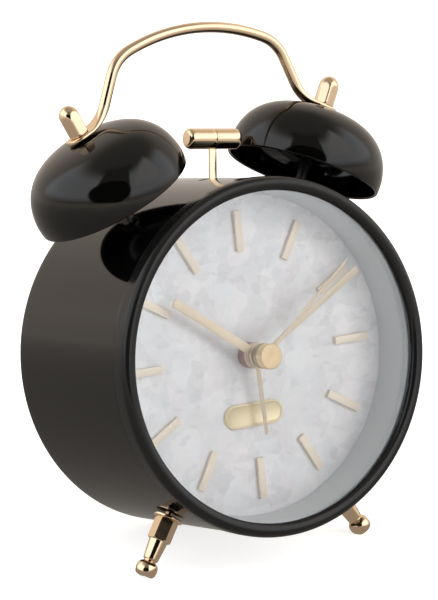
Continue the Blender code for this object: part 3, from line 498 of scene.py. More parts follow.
def make_case(paint):
    profile = [(CASE_RADIUS - 0.25, CASE_FRONT)]
    profile += arc((CASE_RADIUS - 0.25, CASE_FRONT + 0.25), 0.25, -60, 0, 3)
    profile += line((CASE_RADIUS, 7.5), (CASE_RADIUS, CASE_BACK - RIM_ROUND), 16)
    profile += arc((CASE_RADIUS - RIM_ROUND, CASE_BACK - RIM_ROUND), RIM_ROUND, 0, 90, 10)
    profile += arc((47.95, CASE_BACK - 0.25), 0.25, 90, 180, 3)
    profile += [(47.7, 55.9), (45.2, 55.9), (45.2, 54.95), (CASE_INNER, 54.95), (CASE_INNER, 18.25)]
    profile += [(47.6, 17.55), (47.2, 17.05), (47.6, 16.98), (CASE_INNER, 16.9), (CASE_INNER, CASE_FRONT)]
    drum = solid("drum_shell", lathe(profile, 256, ring=True))
    slot = slab(rounded_box(3.6, 1.2, 0.6, (0.0, HAMMER_Y)), 44.0, 54.0, along="Z")
    carve(drum, solid("slot_cutter", slot))
    stand_on_floor(drum)
    dress(drum, paint["lacquer"], "case", ("case_drum",), 30.0)

    crest = 48.0
    profile = arc((crest, 1.57), (2.0, 1.52), 180, 270, 12) + arc((crest, 2.25), (2.0, 2.2), 270, 360, 14)[1:]
    profile += line((50.0, 3.0), (50.0, 5.75), 2) + [(49.95, 5.9), (49.8, 5.95), (48.3, 5.95), (48.3, 8.9)]
    profile += [(48.2, 9.0), (47.3, 9.0), (47.2, 8.9), (47.2, 2.1), (46.1, 2.1), (46.0, 2.0)]
    bezel = solid("bezel_ring", lathe(profile, 256, ring=True))
    dress(bezel, paint["satin_black"], "case", ("bezel",), 30.0)


def make_dial(paint):
    profile = [(0.0, 2.2), (30.0, 2.2), (46.8, 2.2), (46.9, 2.3), (46.9, 3.5), (46.8, 3.6), (30.0, 3.6), (0.0, 3.6)]
    dress(solid("dial_glass", lathe(profile, 192)), paint["glass"], "case", ("lens",))

    flange = DIAL_FRONT - SEAT
    profile = [(46.45, 3.7), (46.4, 3.75), (45.95, 5.2), (45.88, 5.4), (45.1, flange), (48.2, flange)]
    profile += [(48.2, flange - 1.0), (46.9, flange - 1.0), (46.9, 3.7)]
    ring = solid("reflector_ring", lathe(profile, 192, ring=True))
    dress(ring, paint["ring"], "case", ("dial_ring",), 25.0)

    back = DIAL_FRONT + 1.0
    profile = [(2.95, DIAL_FRONT), (48.1, DIAL_FRONT), (48.2, DIAL_FRONT + 0.1), (48.2, back), (2.9, back)]
    profile += [(2.9, DIAL_FRONT + 0.05)]
    dial = solid("pearl_dial", lathe(profile, 160, ring=True))
    dress(dial, paint["pearl"], "case", ("dial_plate",), 30.0)

    front = flange - 1.15
    for hour in range(1, 13):
        bar = slab(rounded_box(1.1, 5.75, 0.12, (0.0, 34.85), 3), front, flange, 0.12, 3)
        bar = solid(f"marker_{hour:02d}", bar, at(turn=math.tau * hour / 12))
        dress(bar, paint["champagne"], "case", (f"hour_marker_{hour:02d}",), 50.0)


def stadium(inset, steps=24):
    """The plaque's outline, drawn in by inset."""
    length, width = 19.4 - 2 * inset, 6.7 - 2 * inset
    radius = width / 2
    points = []
    for side in (1, -1):
        middle = (-0.45 + side * (length / 2 - radius), -16.75)
        for k in range(steps + 1):
            points.append(polar(radius, (1 - side) * math.pi / 2 + math.pi * k / steps, middle))
    return points


def make_plaque(paint):
    back = DIAL_FRONT - SEAT
    front = back - 0.85
    steps = [(0.0, back), (0.0, front + 0.22), (0.05, front + 0.1), (0.15, front + 0.02), (0.28, front)]
    steps += [(0.5, front), (0.62, front + 0.05), (0.72, front + 0.16), (0.85, front + 0.2)]
    plaque = solid("blank_plaque", loft([level_row(stadium(inset), level, "Y") for inset, level in steps]))
    dress(plaque, paint["plaque_gold"], "case", ("name_plaque",), 50.0)


# Hands

def hand_outline(boss, root_half, tip_half, length, steps=40):
    """A round boss that runs out into a straight bar with slightly eased corners."""
    spread = math.asin(root_half / boss)
    points = [polar(boss, spread + (math.tau - 2 * spread) * k / steps) for k in range(steps + 1)]
    ease = tip_half * 0.25
    return points + [(-tip_half, length - ease), (ease - tip_half, length), (tip_half - ease, length),
                     (tip_half, length - ease)]


def make_hands(paint):
    hands = (
        ("hand_hour", "hour_hand", "hours", -54.5, hand_outline(3.5, 1.3, 1.3, 31.6), 10.8, 0.4,
         [(2.2, 11.15), (2.2, 11.3), (2.15, 11.35)]),
        ("hand_minute", "minute_hand", "minutes", 60.3, hand_outline(3.5, 0.65, 1.1, 40.5), 9.05, 0.4,
         [(3.3, 9.4), (3.3, 10.3), (3.2, 10.4)]),
        ("hand_second", "second_hand", "seconds", 52.3, hand_outline(3.55, 0.55, 0.4, 38.2), 6.55, 0.3, []),
        ("hand_alarm", "alarm_hand", "alarm_time", 177.3, hand_outline(3.65, 0.7, 0.55, 22.4), 11.6, 0.3,
         [(3.6, 11.85), (3.6, 12.45), (3.55, 12.5)]),
    )
    for name, node, body, angle, outline, front, thick, sleeve in hands:
        plate = slab(outline, front, front + thick, 0.08, 2)
        if sleeve:
            bore = 2.3 if name == "hand_alarm" else 1.7
            inside = [(bore, sleeve[-1][1]), (bore, sleeve[0][1])]
            plate = merged(plate, lathe(sleeve + inside, 64, ring=True))
        hand = solid(name, plate, at(turn=math.radians(angle)))
        dress(hand, paint["hand_champagne_shaded"], body, (node,), 45.0)

    base = DIAL_FRONT - SEAT
    collar = lathe([(2.3, 12.5), (3.55, 12.5), (3.6, 12.55), (3.6, base - 0.05), (3.55, base), (2.3, base)],
                   64, ring=True)
    dress(solid("alarm_collar", collar), paint["copper"], "alarm_time", (), 45.0)

    profile = [(0.0, 4.07), (0.12, 4.06), (0.2, 4.05), (3.25, 4.05)] + arc((3.3, 4.35), 0.3, 270, 360, 6)[1:]
    profile += [(3.6, 6.42), (3.52, 6.5), (0.5, 6.5), (0.5, 5.05), (0.0, 5.05)]
    dress(solid("hub_turned", lathe(profile, 96)), paint["turned_gold"], "seconds", ("hub_cap",), 30.0)

    profile = [(0.0, 5.15), (0.45, 5.15), (0.45, 6.9), (3.42, 6.9), (3.54, 6.94), (3.6, 7.05), (3.6, 8.1)]
    profile += [(3.5, 8.2), (0.45, 8.2), (0.45, 29.4), (0.0, 29.4)]
    skirt = solid("hub_skirt", lathe(profile, 96))
    dress(skirt, paint["bronze"], "seconds", ("second_arbor",), 30.0)


# Bells, posts, handle and nuts

BELL_X = 31.56
BELL_Y = 27.0
BELL_Z = 47.8
BELL_TILT = math.radians(26.8)
BELL_RADIUS = 22.73
BELL_HEIGHT = 19.08
BELL_POWER = 2.615
BELL_WALL = 0.9
NUT_BASE = 20.85


def bell_place(side, along=0.0):
    """A bell's own frame: its axis is +Z and its rim's plane is Z = 0."""
    centre = (side * (BELL_X + along * math.sin(BELL_TILT)), BELL_Y, BELL_Z + along * math.cos(BELL_TILT))
    return Matrix.Translation(Vector(centre) * MM) @ Matrix.Rotation(side * BELL_TILT, 4, "Y")


def bell_radius(level, radius, height):
    """A superelliptic dome, drawn in a little towards its rim."""
    full = radius * (1.0 - (level / height) ** BELL_POWER) ** (1.0 / BELL_POWER)
    return full - 0.42 * max(0.0, 1.0 - level / 5.0) ** 2


def bell_side(radius, height, first, steps=44):
    """(radius, level) points from the level first up to the post's hole."""
    points = []
    for k in range(steps + 1):
        share = k / steps
        level = first + (height - 1e-4 - first) * (1.0 - (1.0 - share) ** 2.4)
        reach = bell_radius(level, radius, height)
        if reach <= 1.9:
            break
        points.append((reach, level))
    return points + [(1.8, height)]


def make_bells(paint):
    outer = bell_side(BELL_RADIUS, BELL_HEIGHT, 0.4)
    inner = bell_side(BELL_RADIUS - BELL_WALL, BELL_HEIGHT - BELL_WALL, 0.4)
    lip = (outer[0][0] + inner[0][0]) / 2
    half = (outer[0][0] - inner[0][0]) / 2
    rim = arc((lip, 0.4), (half, 0.4), 180, 360, 8)[1:-1]
    profile = list(reversed(inner)) + rim + outer
    for side, name in ((-1, "left"), (1, "right")):
        bell = solid("bell_dome_" + name, lathe(profile, 192, ring=True, along="Z"), bell_place(side))
        dress(bell, paint["lacquer"], "case", ("bell_" + name,), 40.0)

        shoulder = BELL_HEIGHT - BELL_WALL - 0.3
        post = [(0.0, -13.0), (1.3, -13.0), (1.5, -12.8), (1.5, -6.95), (2.5, -6.9), (2.6, -6.8), (2.6, -5.7)]
        post += [(2.5, -5.6), (1.5, -5.55), (1.5, shoulder - 2.6), (2.9, shoulder - 2.05)]
        post += [(3.0, shoulder - 1.9), (3.0, shoulder), (1.5, shoulder), (1.5, NUT_BASE + 4.7)]
        post += [(1.3, NUT_BASE + 5.0), (0.0, NUT_BASE + 5.0)]
        made = solid("bell_stem_" + name, lathe(post, 48, along="Z"), bell_place(side))
        dress(made, paint["dark_steel"], "case", ("bell_post_" + name,), 40.0)

        made = solid("dome_nut_" + name, acorn(math.radians(25 - 3 * side)), bell_place(side, NUT_BASE))
        dress(made, paint["gold"], "case", ("acorn_nut_" + name,), 35.0)


def hex_radius(angle, corners):
    """Distance to a hexagon's edge; corners is its size across them."""
    sector = math.tau / 6
    return corners / 2 * math.cos(sector / 2) / math.cos(angle % sector - sector / 2)


def soft_least(first, second, softness):
    """The smaller of two numbers, with the change between them smoothed."""
    share = max(softness - abs(first - second), 0.0) / softness
    return min(first, second) - share * share * softness / 4


def acorn(turn):
    """A tall acorn nut, screwed home at an angle: hexagon flats that run smoothly into a dome."""
    crown, rise, dome_radius = 4.6, 4.1, 3.12
    rows = [(3.0, 0.0), (3.0, 0.12), (3.0, 0.3), (3.0, 0.6)] + [(3.0, 0.8 + 0.4 * k) for k in range(10)]
    rows += [(3.0, crown + rise * math.sin(math.radians(a))) for a in (*range(4, 86, 5), 87, 89)]
    rows += [(0.0, crown + rise)]

    def reach(angle, radius, level):
        flats = hex_radius(angle - turn, 6.35)
        chamfer = 2.78 + level * 1.4
        dome = dome_radius
        if level > crown:
            dome *= math.sqrt(max(0.0, 1.0 - ((level - crown) / rise) ** 2))
        return soft_least(soft_least(flats, dome, 0.22), chamfer, 0.1)

    return bored(turned(rows, reach), 1.55, 5.4)


def bored(mesh, radius, depth):
    """Drills a blind hole up from the flat end at level 0."""
    bottom = max((f for f in mesh.faces if len(f.verts) > 8), key=lambda f: -f.calc_center_median().z)
    bmesh.ops.inset_individual(mesh, faces=[bottom], thickness=0.0)
    centre = bottom.calc_center_median()
    for vert in bottom.verts:
        spoke = vert.co - centre
        spoke.z = 0.0
        vert.co = centre + spoke.normalized() * radius * MM
    pushed = bmesh.ops.extrude_discrete_faces(mesh, faces=[bottom])["faces"][0]
    bmesh.ops.translate(mesh, verts=pushed.verts, vec=(0.0, 0.0, depth * MM))
    bmesh.ops.recalc_face_normals(mesh, faces=mesh.faces)
    return mesh


HANDLE_ROD = 1.55
HANDLE_TOP = 92.06
HANDLE_BOW = 59.0
HANDLE_SHOULDER = Vector((27.1, 85.6))
HANDLE_KNEE = Vector((33.7, 69.15))
HANDLE_FILLET = 5.0
TAB_LEVEL = 20.05
TAB_HALF = 3.6
TAB_THIN = 0.7


def bend(before, corner, after, steps):
    start = corner - (corner - before).normalized() * HANDLE_FILLET
    end = corner + (after - corner).normalized() * HANDLE_FILLET
    points = []
    for k in range(steps + 1):
        t = k / steps
        points.append((1 - t) ** 2 * start + 2 * t * (1 - t) * corner + t ** 2 * end)
    return points


def handle_half():
    """Centre line (x, z), half width, half thickness and squareness, from the top to the tab's tip."""
    spot = bell_place(1, TAB_LEVEL).translation / MM
    bolt = Vector((spot.x, spot.z))
    down = Vector((math.cos(BELL_TILT), -math.sin(BELL_TILT)))
    path = []
    for k in range(24):
        x = 22.0 * k / 23
        path.append((Vector((x, HANDLE_TOP - HANDLE_BOW + math.sqrt(HANDLE_BOW ** 2 - x * x))),
                     HANDLE_ROD, HANDLE_ROD, 1.0))
    for point in bend(path[-1][0], HANDLE_SHOULDER, HANDLE_KNEE, 16):
        path.append((point, HANDLE_ROD, HANDLE_ROD, 1.0))
    knee = bend(HANDLE_SHOULDER, HANDLE_KNEE, bolt, 20)
    shoulder = path[-1][0]
    for k in range(1, 5):
        path.append((shoulder.lerp(knee[0], k / 5), HANDLE_ROD, HANDLE_ROD, 1.0))
    for k, point in enumerate(knee):
        t = k / (len(knee) - 1)
        ease = t * t * (3 - 2 * t)
        path.append((point, HANDLE_ROD + (TAB_HALF - HANDLE_ROD) * t * t,
                     HANDLE_ROD + (TAB_THIN - HANDLE_ROD) * ease, 1.0 - 0.5 * ease))
    for k in range(19):
        angle = math.radians(89.0) * k / 18
        path.append((bolt + down * 4.5 * math.sin(angle), TAB_HALF * math.cos(angle), TAB_THIN, 0.5))
    return path


def make_handle(paint):
    half = handle_half()
    path = [(Vector((-p.x, p.y)), w, t, power) for p, w, t, power in reversed(half[1:])] + half
    rows = []
    for k, (point, width, thick, power) in enumerate(path):
        forward = (path[min(k + 1, len(path) - 1)][0] - path[max(k - 1, 0)][0]).normalized()
        normal = Vector((-forward.y, forward.x))
        row = []
        for j in range(40):
            angle = math.tau * j / 40
            across = width * math.copysign(abs(math.cos(angle)) ** power, math.cos(angle))
            out = thick * math.copysign(abs(math.sin(angle)) ** power, math.sin(angle))
            spot = point + normal * out
            row.append((spot.x, BELL_Y + across, spot.y))
        rows.append(row)
    handle = solid("carry_handle", loft(rows))
    drills = [solid("tab_drill_" + name, lathe([(1.8, 18.0), (1.8, 23.0)], 48, along="Z"), bell_place(side))
              for side, name in ((-1, "left"), (1, "right"))]
    carve(handle, *drills)
    dress(handle, paint["gold"], "case", ("handle",), 50.0)


# Hammer

HAMMER_REACH = 21.3
HAMMER_SWING = math.radians(5.8)
PIVOT_Z = 39.5
HAMMER_RADIUS = 2.93


def make_hammer(paint):
    pivot = at(0.0, 0.0, PIVOT_Z, HAMMER_SWING)
    half, corner = 8.65, 1.3
    left = arc((HAMMER_RADIUS - corner, corner - half), corner, 270, 360, 10)
    right = arc((HAMMER_RADIUS - corner, half - corner), corner, 0, 90, 10)
    seam = [(HAMMER_RADIUS, -0.14), (HAMMER_RADIUS - 0.03, -0.08), (HAMMER_RADIUS - 0.16, -0.03)]
    seam += [(r, -level) for r, level in reversed(seam)]
    profile = [(0.0, -half)] + left + line((HAMMER_RADIUS, -7.0), (HAMMER_RADIUS, -0.3), 7) + seam
    profile += line((HAMMER_RADIUS, 0.3), (HAMMER_RADIUS, 7.2), 7) + right + [(0.0, half)]
    place = pivot @ Matrix.Translation(Vector((0.0, HAMMER_Y, HAMMER_REACH)) * MM)
    head = solid("hammer_barrel", lathe(profile, 96, along="X"), place)
    dress(head, paint["gold"], "hammer", ("hammer_head",), 40.0)

    front, back = HAMMER_Y - 0.35, HAMMER_Y + 0.35
    side = [(1.2, 20.8), (1.2, 4.6), (1.5, 3.8), (4.3, 1.9), (4.8, 1.2), (4.8, -13.6), (4.6, -13.8), (3.8, -13.8)]
    side += [(3.6, -13.6), (3.6, -8.1), (2.4, -6.9)]
    outline = side + [(-x, z) for x, z in reversed(side)]
    arm = solid("hammer_strip", slab(outline, front, back, 0.12, 2), pivot)
    carve(arm, solid("pivot_drill", lathe([(1.05, front - 1), (1.05, back + 1)], 40), pivot))
    dress(arm, paint["gold"], "hammer", ("hammer_arm",), 45.0)


# Legs

LEG_ANGLE = math.radians(33.5)
LEG_Y = 21.6


def make_legs(paint):
    rows = [(0.0, -68.0), (1.6, -68.0), (2.0, -67.97), (2.35, -67.85), (2.62, -67.62), (2.82, -67.3)]
    rows += [(2.96, -66.8), (3.04, -66.3), (3.05, -65.9), (3.02, -65.4), (2.93, -64.95), (2.75, -64.55)]
    rows += [(2.5, -64.2), (2.15, -63.95), (1.85, -63.82), (1.75, -63.7), (1.75, -63.4), (1.82, -63.28)]
    rows += [(2.05, -63.2), (2.12, -63.1), (2.15, -62.9)] + [(2.15 + 0.0926 * k, -62.9 + k) for k in range(1, 6)]
    rows += [(2.65, -57.5), (2.72, -57.42), (2.95, -57.35), (3.1, -57.28), (3.4, -57.1), (3.4, -56.9)]
    rows += [(3.4, -56.6 + 0.5 * k) for k in range(11)] + [(3.4, -51.35), (3.25, -51.1), (3.1, -51.0)]
    rows += [(3.0, -50.95), (4.05, -50.9), (4.2, -50.84), (4.25, -50.7), (4.25, -50.3), (4.2, -50.16)]
    rows += [(4.05, -50.1), (1.5, -50.1), (1.5, -44.7), (1.3, -44.5), (0.0, -44.5)]

    def reach(angle, radius, level):
        if -57.45 < level < -50.93:
            return soft_least(hex_radius(angle, 6.8), radius, 0.08)
        return radius

    for side, name in ((-1, "left"), (1, "right")):
        turn = Matrix.Rotation(-side * LEG_ANGLE, 4, "Y")
        place = Matrix.Translation(Vector((0.0, LEG_Y, 0.0)) * MM) @ turn
        leg = solid("turned_leg_" + name, turned(rows, reach, 96), place)
        stand_on_floor(leg)
        dress(leg, paint["gold"], "case", ("leg_" + name,), 32.0)


# Back of the clock

COVER_FRONT = 55.95
COVER_BACK = 57.45
TIME_AXIS = 9.6
ALARM_AXIS = -12.0
BATTERY_Z = -26.0
SWITCH_Z = 32.0
SCREWS = (60.0, 300.0)
SCREW_CIRCLE = 41.0


def make_cover(paint):
    profile = [(0.0, COVER_FRONT), (47.3, COVER_FRONT), (47.4, COVER_FRONT + 0.1), (47.4, 57.5), (47.3, 57.65)]
    profile += [(46.2, 57.65), (46.0, 57.6), (45.8, COVER_BACK), (0.0, COVER_BACK)]
    cover = solid("rear_cover", lathe(profile, 192))
    cuts = [solid("cut_door", slab(rounded_box(26.2, 7.2, 0.8), 54, 59), at(0.0, 0.0, BATTERY_Z)),
            solid("cut_switch", slab(rounded_box(4.2, 1.6, 0.5), 54, 59), at(0.0, 0.0, SWITCH_Z))]
    for axis in (TIME_AXIS, ALARM_AXIS):
        cuts.append(solid("cut_shaft", lathe([(1.5, 54.0), (1.5, 59.0)], 48), at(axis)))
        cuts.append(solid("cut_dish", lathe([(0.0, 56.95), (6.6, 56.95), (6.8, 57.0), (7.3, 57.5), (7.3, 59.0),
                                             (0.0, 59.0)], 96), at(axis)))
    cuts.append(solid("cut_switch_field", slab(rounded_box(8.2, 3.6, 1.2), 57.05, 59.0), at(0.0, 0.0, SWITCH_Z)))
    for angle in SCREWS:
        x, z = polar(SCREW_CIRCLE, math.radians(angle))
        cuts.append(solid("cut_screw", lathe([(1.4, 54.0), (1.4, 59.0)], 40), at(x, 0.0, z)))
    carve(cover, *cuts)
    dress(cover, paint["black_plastic"], "case", ("back_cover",), 30.0)

    frame_bar = loft([level_row(rounded_box(27.6 - inset, 8.6 - inset, 1.4, (0.0, BATTERY_Z)), level, "Y")
                      for inset, level in ((0.0, COVER_BACK), (0.0, 57.7), (0.15, 57.85), (0.65, 57.85),
                                           (0.8, 57.7), (0.8, COVER_BACK))], ring=True)
    marks = [frame_bar]
    for axis, sign in ((TIME_AXIS, 1), (ALARM_AXIS, -1)):
        marks.append(moved(curved_arrow(sign), at(axis)))
    relief = solid("cover_relief", merged(*marks))
    dress(relief, paint["black_plastic"], "case", (), 40.0)

    for k, angle in enumerate(SCREWS):
        x, z = polar(SCREW_CIRCLE, math.radians(angle))
        profile = [(0.0, 50.0), (0.9, 50.0), (1.1, 50.3), (1.1, 57.5), (2.2, 57.5), (2.3, 57.6), (2.3, 57.85)]
        profile += [(2.22, 58.1), (2.0, 58.32), (1.6, 58.47), (1.0, 58.54), (0.0, 58.55)]
        screw = solid(f"pan_screw_{k + 1}", lathe(profile, 64), at(x, 0.0, z, 0.4 + k))
        bars = [solid("recess", slab(rounded_box(*size, 0.1), 57.95, 59.0), at(x, 0.0, z, 0.4 + k))
                for size in ((1.25, 0.28), (0.28, 1.25))]
        carve(screw, *bars)
        dress(screw, paint["steel"], "case", (f"cover_screw_{k + 1}",), 30.0)


def curved_arrow(sign):
    """A raised arrow on the cover, bent round a knob's dish."""
    inner, outer, tip = 8.3, 9.1, 8.7
    start, stop, point = math.radians(-38), math.radians(30), math.radians(46)
    steps = 16
    far = [polar(outer, start + (stop - start) * k / steps) for k in range(steps + 1)]
    near = [polar(inner, start + (stop - start) * k / steps) for k in range(steps + 1)]
    outline = far + [polar(outer + 0.7, stop), polar(tip, point), polar(inner - 0.7, stop)] + near[::-1]
    outline = [(sign * a, b) for a, b in outline]
    return slab(outline, COVER_BACK, COVER_BACK + 0.3, 0.08, 1)


def make_knobs(paint):
    for name, node, body, axis, front in (("knob_time", "time_set_knob", "time_setter", TIME_AXIS, 20.7),
                                          ("knob_alarm", "alarm_set_knob", "alarm_setter", ALARM_AXIS, 18.8)):
        profile = [(0.0, front), (1.0, front), (1.0, 58.9), (4.5, 58.9), (4.8, 58.98), (5.0, 59.3), (5.0, 60.0)]
        profile += [(5.0, 61.2), (5.0, 62.4), (5.0, 63.1), (4.9, 63.5), (4.6, 63.8), (4.2, 63.9), (3.7, 63.86)]
        profile += [(3.45, 63.7), (3.3, 63.5), (2.9, 63.42), (0.0, 63.4)]

        def reach(angle, radius, level):
            depth = 0.32 * max(0.0, min(1.0, (radius - 4.4) / 0.6)) if level > 58.5 else 0.0
            return radius - depth * (0.5 + 0.5 * math.cos(26 * angle)) ** 0.6

        knob = solid(name, turned(profile, reach, 312, along="Y"), at(axis))
        dress(knob, paint["knob_plastic"], body, (node,), 40.0)


def make_door_and_switch(paint):
    panel = slab(rounded_box(25.9, 6.9, 0.9, (0.0, BATTERY_Z)), 56.0, COVER_BACK, 0.2, 2)
    grips = [slab(rounded_box(0.28, 2.0, 0.25, (0.9 * k, BATTERY_Z)), COVER_BACK - 0.1, 58.1, 0.12, 2)
             for k in range(-5, 6)]
    door = solid("door_panel", merged(panel, *grips))
    dress(door, paint["black_plastic"], "door", ("battery_door",), 45.0)

    slide = slab(rounded_box(2.6, 2.6, 0.3, (0.0, SWITCH_Z)), 53.9, 55.6, 0.1, 1)
    neck = slab(rounded_box(1.5, 1.2, 0.2, (0.0, SWITCH_Z)), 55.5, 58.0)
    thumb = slab(rounded_box(2.4, 2.2, 0.5, (0.0, SWITCH_Z)), 57.75, 58.9, 0.15, 2)
    ribs = [slab(rounded_box(0.22, 1.8, 0.2, (0.75 * k, SWITCH_Z)), 58.8, 59.45, 0.1, 2) for k in range(-2, 3)]
    switch = solid("slide_switch", merged(slide, neck, thumb, *ribs), at(-2.0))
    dress(switch, paint["knob_plastic"], "switch", ("alarm_switch",), 45.0)


# Works inside: CAD shapes as they are

def dress_works(paint):
    looks = {
        "brass": ("minute_pipe", "hour_wheel", "alarm_wheel", "motor_pinion"),
        "white_plastic": ("motion_wheel", "alarm_pinion", "crank_gear"),
        "steel": ("leg_nut_left", "leg_nut_right", "motor_bracket", "alarm_motor", "battery_contact_positive",
                  "battery_contact_negative"),
        "black_plastic": ("battery_tray", "movement_plate", "movement_cover"),
        "circuit": ("circuit_board",),
        "battery": ("battery",),
    }
    for look, names in looks.items():
        for name in names:
            slots = NODES[name].data.materials
            for k in range(len(slots)):
                slots[k] = paint[look]


# Floor, light and camera

CAMERA_PLACE = (-484.32, -726.79, 98.63)
CAMERA_RIGHT = Vector((0.83308, -0.54492, -0.09512))
CAMERA_UP = Vector((0.13021, 0.02605, 0.99114))
SENSOR = 36.0
LENS_PER_SENSOR = 5.3143


def make_camera():
    """The photograph's viewpoint: in front, to the left and a little above, through a long lens."""
    data = bpy.data.cameras.new("camera")
    data.sensor_width = SENSOR
    data.lens = SENSOR * LENS_PER_SENSOR
    data.clip_start, data.clip_end = 0.05, 20.0
    camera = bpy.data.objects.new("camera", data)
    bpy.context.scene.collection.objects.link(camera)
    right = CAMERA_RIGHT.normalized()
    back = right.cross(CAMERA_UP).normalized()
    turn = Matrix((right, back.cross(right), back)).transposed().to_4x4()
    camera.matrix_world = CLOCK @ Matrix.Translation(Vector(CAMERA_PLACE) * MM) @ turn
    bpy.context.scene.camera = camera
    return camera


def make_floor():
    mesh = bmesh.new()
    bmesh.ops.create_circle(mesh, cap_ends=True, cap_tris=False, segments=96, radius=6.0)
    data = bpy.data.meshes.new("floor")
    mesh.to_mesh(data)
    mesh.free()
    floor = bpy.data.objects.new("floor", data)
    bpy.context.scene.collection.objects.link(floor)
    paint = Paint("floor_white", roughness=0.9, Emission_Strength=0.80)
    paint.set(Emission_Color=(1.0, 0.99, 0.975, 1.0), Specular_IOR_Level=0.1)
    paint.colour(paint.blend(paint.noise(300.0), (0.56, 0.56, 0.555), (0.58, 0.58, 0.575)))
    # Painted shade in reflections: glossy rays see the floor as a dim glow, darkest near the clock and lighter
    # further out.
    reach = paint.node("VectorMath", {0: paint.place}, operation="LENGTH").outputs["Value"]
    tone = paint.blend(paint.spread(reach, 0.0, 1.0, (0.06, 0.9)), (0.30, 0.275, 0.25), (0.76, 0.69, 0.62))
    painted_reflection_shade = paint.node("Emission", {"Color": tone, "Strength": 1.0}).outputs[0]
    mirrored = paint.node("LightPath").outputs["Is Glossy Ray"]
    paint.show(paint.node("MixShader", {0: mirrored, 1: paint.shader.outputs[0], 2: painted_reflection_shade}).outputs[0])
    floor.data.materials.append(paint.made)


def make_tent(camera):
    """A light tent: warm cloth, bright sides that are taller on the right, a dark roof and the lens's opening."""
    world = bpy.data.worlds.new("tent")
    bpy.context.scene.world = world
    world.use_nodes = True
    tree = world.node_tree
    tree.nodes.clear()

    def node(kind, inputs=None, **settings):
        made = tree.nodes.new("ShaderNode" + kind)
        for name, value in settings.items():
            setattr(made, name, value)
        for name, value in (inputs or {}).items():
            if isinstance(value, bpy.types.NodeSocket):
                tree.links.new(value, made.inputs[name])
            else:
                made.inputs[name].default_value = value
        return made

    def step(value, low, high):
        return node("MapRange", {"Value": value, "From Min": low, "From Max": high}, clamp=True,
                    interpolation_type="SMOOTHSTEP").outputs["Result"]

    def maths(operation, first, second=0.0):
        return node("Math", {0: first, 1: second}, operation=operation).outputs[0]

    def mix(share, first, second):
        made = tree.nodes.new("ShaderNodeMix")
        made.data_type = "RGBA"
        for socket, value in ((made.inputs[0], share), (made.inputs[6], first), (made.inputs[7], second)):
            if isinstance(value, bpy.types.NodeSocket):
                tree.links.new(value, socket)
            else:
                socket.default_value = (*value, 1.0)
        return made.outputs[2]

    towards = camera.matrix_world.translation.copy()
    towards.z = 0.0
    towards.normalize()
    aside = Vector((-towards.y, towards.x, 0.0))
    direction = node("TexCoord").outputs["Generated"]
    height = node("SeparateXYZ", {"Vector": direction}).outputs["Z"]
    ahead = node("VectorMath", {0: direction, 1: towards}, operation="DOT_PRODUCT").outputs["Value"]
    sideways = node("VectorMath", {0: direction, 1: aside}, operation="DOT_PRODUCT").outputs["Value"]
    level = maths("SQRT", maths("SUBTRACT", 1.0001, maths("MULTIPLY", height, height)))
    bearing = maths("DIVIDE", ahead, level)

    def product(*shares):
        whole = shares[0]
        for share in shares[1:]:
            whole = maths("MULTIPLY", whole, share)
        return whole

    back, front, roof, shade = (0.80, 0.70, 0.61), (0.50, 0.46, 0.42), (0.35, 0.32, 0.285), (0.17, 0.16, 0.15)
    cloth = mix(step(bearing, -0.6, 0.6), back, front)
    cloth = mix(step(height, 0.62, 0.92), cloth, roof)
    above_lens = product(step(bearing, 0.70, 0.86), step(height, 0.36, 0.48), step(height, 0.94, 0.84))
    cloth = mix(above_lens, cloth, shade)
    panels = product(step(bearing, -0.56, -0.34), step(bearing, 0.90, 0.857), step(height, -0.02, 0.20),
                     step(height, 0.86, 0.62))
    cloth = mix(panels, cloth, (1.38, 1.40, 1.44))
    tall = product(step(sideways, 0.40, 0.60), step(bearing, 0.05, 0.25), step(bearing, 0.84, 0.76),
                   step(height, 0.30, 0.45), step(height, 0.93, 0.85))
    cloth = mix(tall, cloth, (1.62, 1.58, 1.52))
    opening_left, opening_height, half_across, half_up = 0.05, 0.27, 0.52, 0.34
    across = maths("DIVIDE", maths("ADD", sideways, opening_left), half_across)
    up = maths("DIVIDE", maths("SUBTRACT", height, opening_height), half_up)
    spread = maths("ADD", maths("MULTIPLY", across, across), maths("MULTIPLY", up, up))
    opening = product(step(spread, 1.15, 0.9), step(ahead, 0.0, 0.2))
    cloth = mix(opening, cloth, (0.004, 0.004, 0.004))

    seen = node("LightPath").outputs["Is Camera Ray"]
    soft = node("LightPath").outputs["Is Diffuse Ray"]
    light = node("Background", {"Color": cloth, "Strength": maths("ADD", 1.0, maths("MULTIPLY", soft, 0.12))})
    backdrop = node("Background", {"Color": (1.0, 1.0, 1.0, 1.0), "Strength": 1.0})
    both = node("MixShader", {0: seen, 1: light.outputs[0], 2: backdrop.outputs[0]})
    output = node("OutputWorld")
    tree.links.new(both.outputs[0], output.inputs["Surface"])


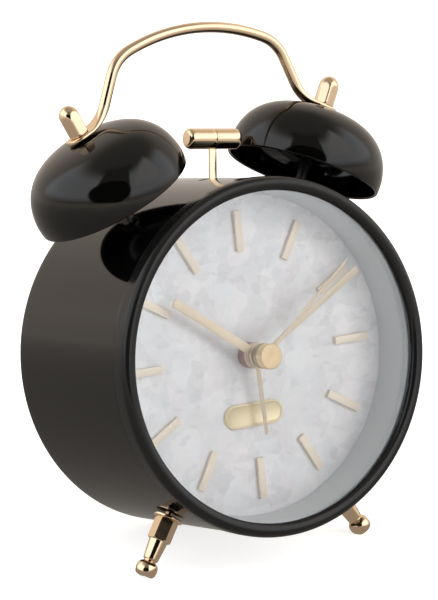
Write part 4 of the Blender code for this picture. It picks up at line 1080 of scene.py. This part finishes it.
def make_lights():
    """Two broad softboxes, overhead and from the right, that only feed matt surfaces."""
    for name, size, energy, place in (("overhead", 1.6, 20.0, (-0.25, -0.55, 1.5)),
                                      ("key", 1.5, 10.0, (1.0, -1.0, 0.7))):
        data = bpy.data.lights.new(name, "AREA")
        data.shape = "DISK"
        data.size = size
        data.energy = energy
        data.color = (1.0, 0.985, 0.97)
        lamp = bpy.data.objects.new(name, data)
        bpy.context.scene.collection.objects.link(lamp)
        lamp.location = place
        lamp.rotation_euler = (Vector(place) - Vector((0.0, 0.0, 0.05))).to_track_quat("Z", "Y").to_euler()
        lamp.visible_glossy = False
        lamp.visible_camera = False


def main():
    bpy.context.scene.view_settings.view_transform = "Standard"
    camera = make_camera()
    make_floor()
    make_tent(camera)
    make_lights()
    paint = {
        "lacquer": lacquer(),
        "satin_black": satin_black(),
        "gold": polished_gold(),
        "plaque_gold": polished_gold("plaque_gold", 0.30, 0.34, (1.0, 0.82, 0.54), 0.5),
        "turned_gold": turned_gold(),
        "champagne": brushed("champagne_brushed", (0.93, 0.81, 0.66), (0.98, 0.88, 0.74), metallic=0.2),
        # Painted shade: the hands' champagne is a darker, tanner copy of the markers', standing in for the shade on
        # the hands.
        "hand_champagne_shaded": brushed("champagne_hands_painted_shade", (0.83, 0.68, 0.51), (0.92, 0.79, 0.62)),
        "copper": brushed("copper_brushed", (0.38, 0.20, 0.17), (0.54, 0.32, 0.28), 0.30, 0.42),
        "bronze": metal("hub_bronze", (0.42, 0.34, 0.22), (0.55, 0.45, 0.30), 0.18, 0.30),
        "pearl": pearl(),
        "ring": ring_paint(),
        "glass": glass(),
        "brass": metal("gear_brass", (0.62, 0.45, 0.20), (0.80, 0.62, 0.32)),
        "steel": metal("machined_steel", (0.46, 0.46, 0.48), (0.66, 0.66, 0.68)),
        "dark_steel": metal("blackened_steel", (0.10, 0.095, 0.09), (0.16, 0.155, 0.15), 0.25, 0.40),
        "black_plastic": plastic("moulded_black", (0.012, 0.012, 0.013), (0.020, 0.020, 0.021)),
        "knob_plastic": plastic("knob_black", (0.016, 0.016, 0.017), (0.024, 0.024, 0.025), 0.30, 0.42, 0.8, 0.006),
        "white_plastic": plastic("acetal_white", (0.70, 0.69, 0.65), (0.80, 0.79, 0.75), 0.38, 0.50, 0.8, 0.008),
        "circuit": circuit(),
        "battery": battery_paint(),
    }
    make_case(paint)
    make_dial(paint)
    make_plaque(paint)
    make_hands(paint)
    make_bells(paint)
    make_handle(paint)
    make_hammer(paint)
    make_legs(paint)
    make_cover(paint)
    make_knobs(paint)
    make_door_and_switch(paint)
    dress_works(paint)


main()
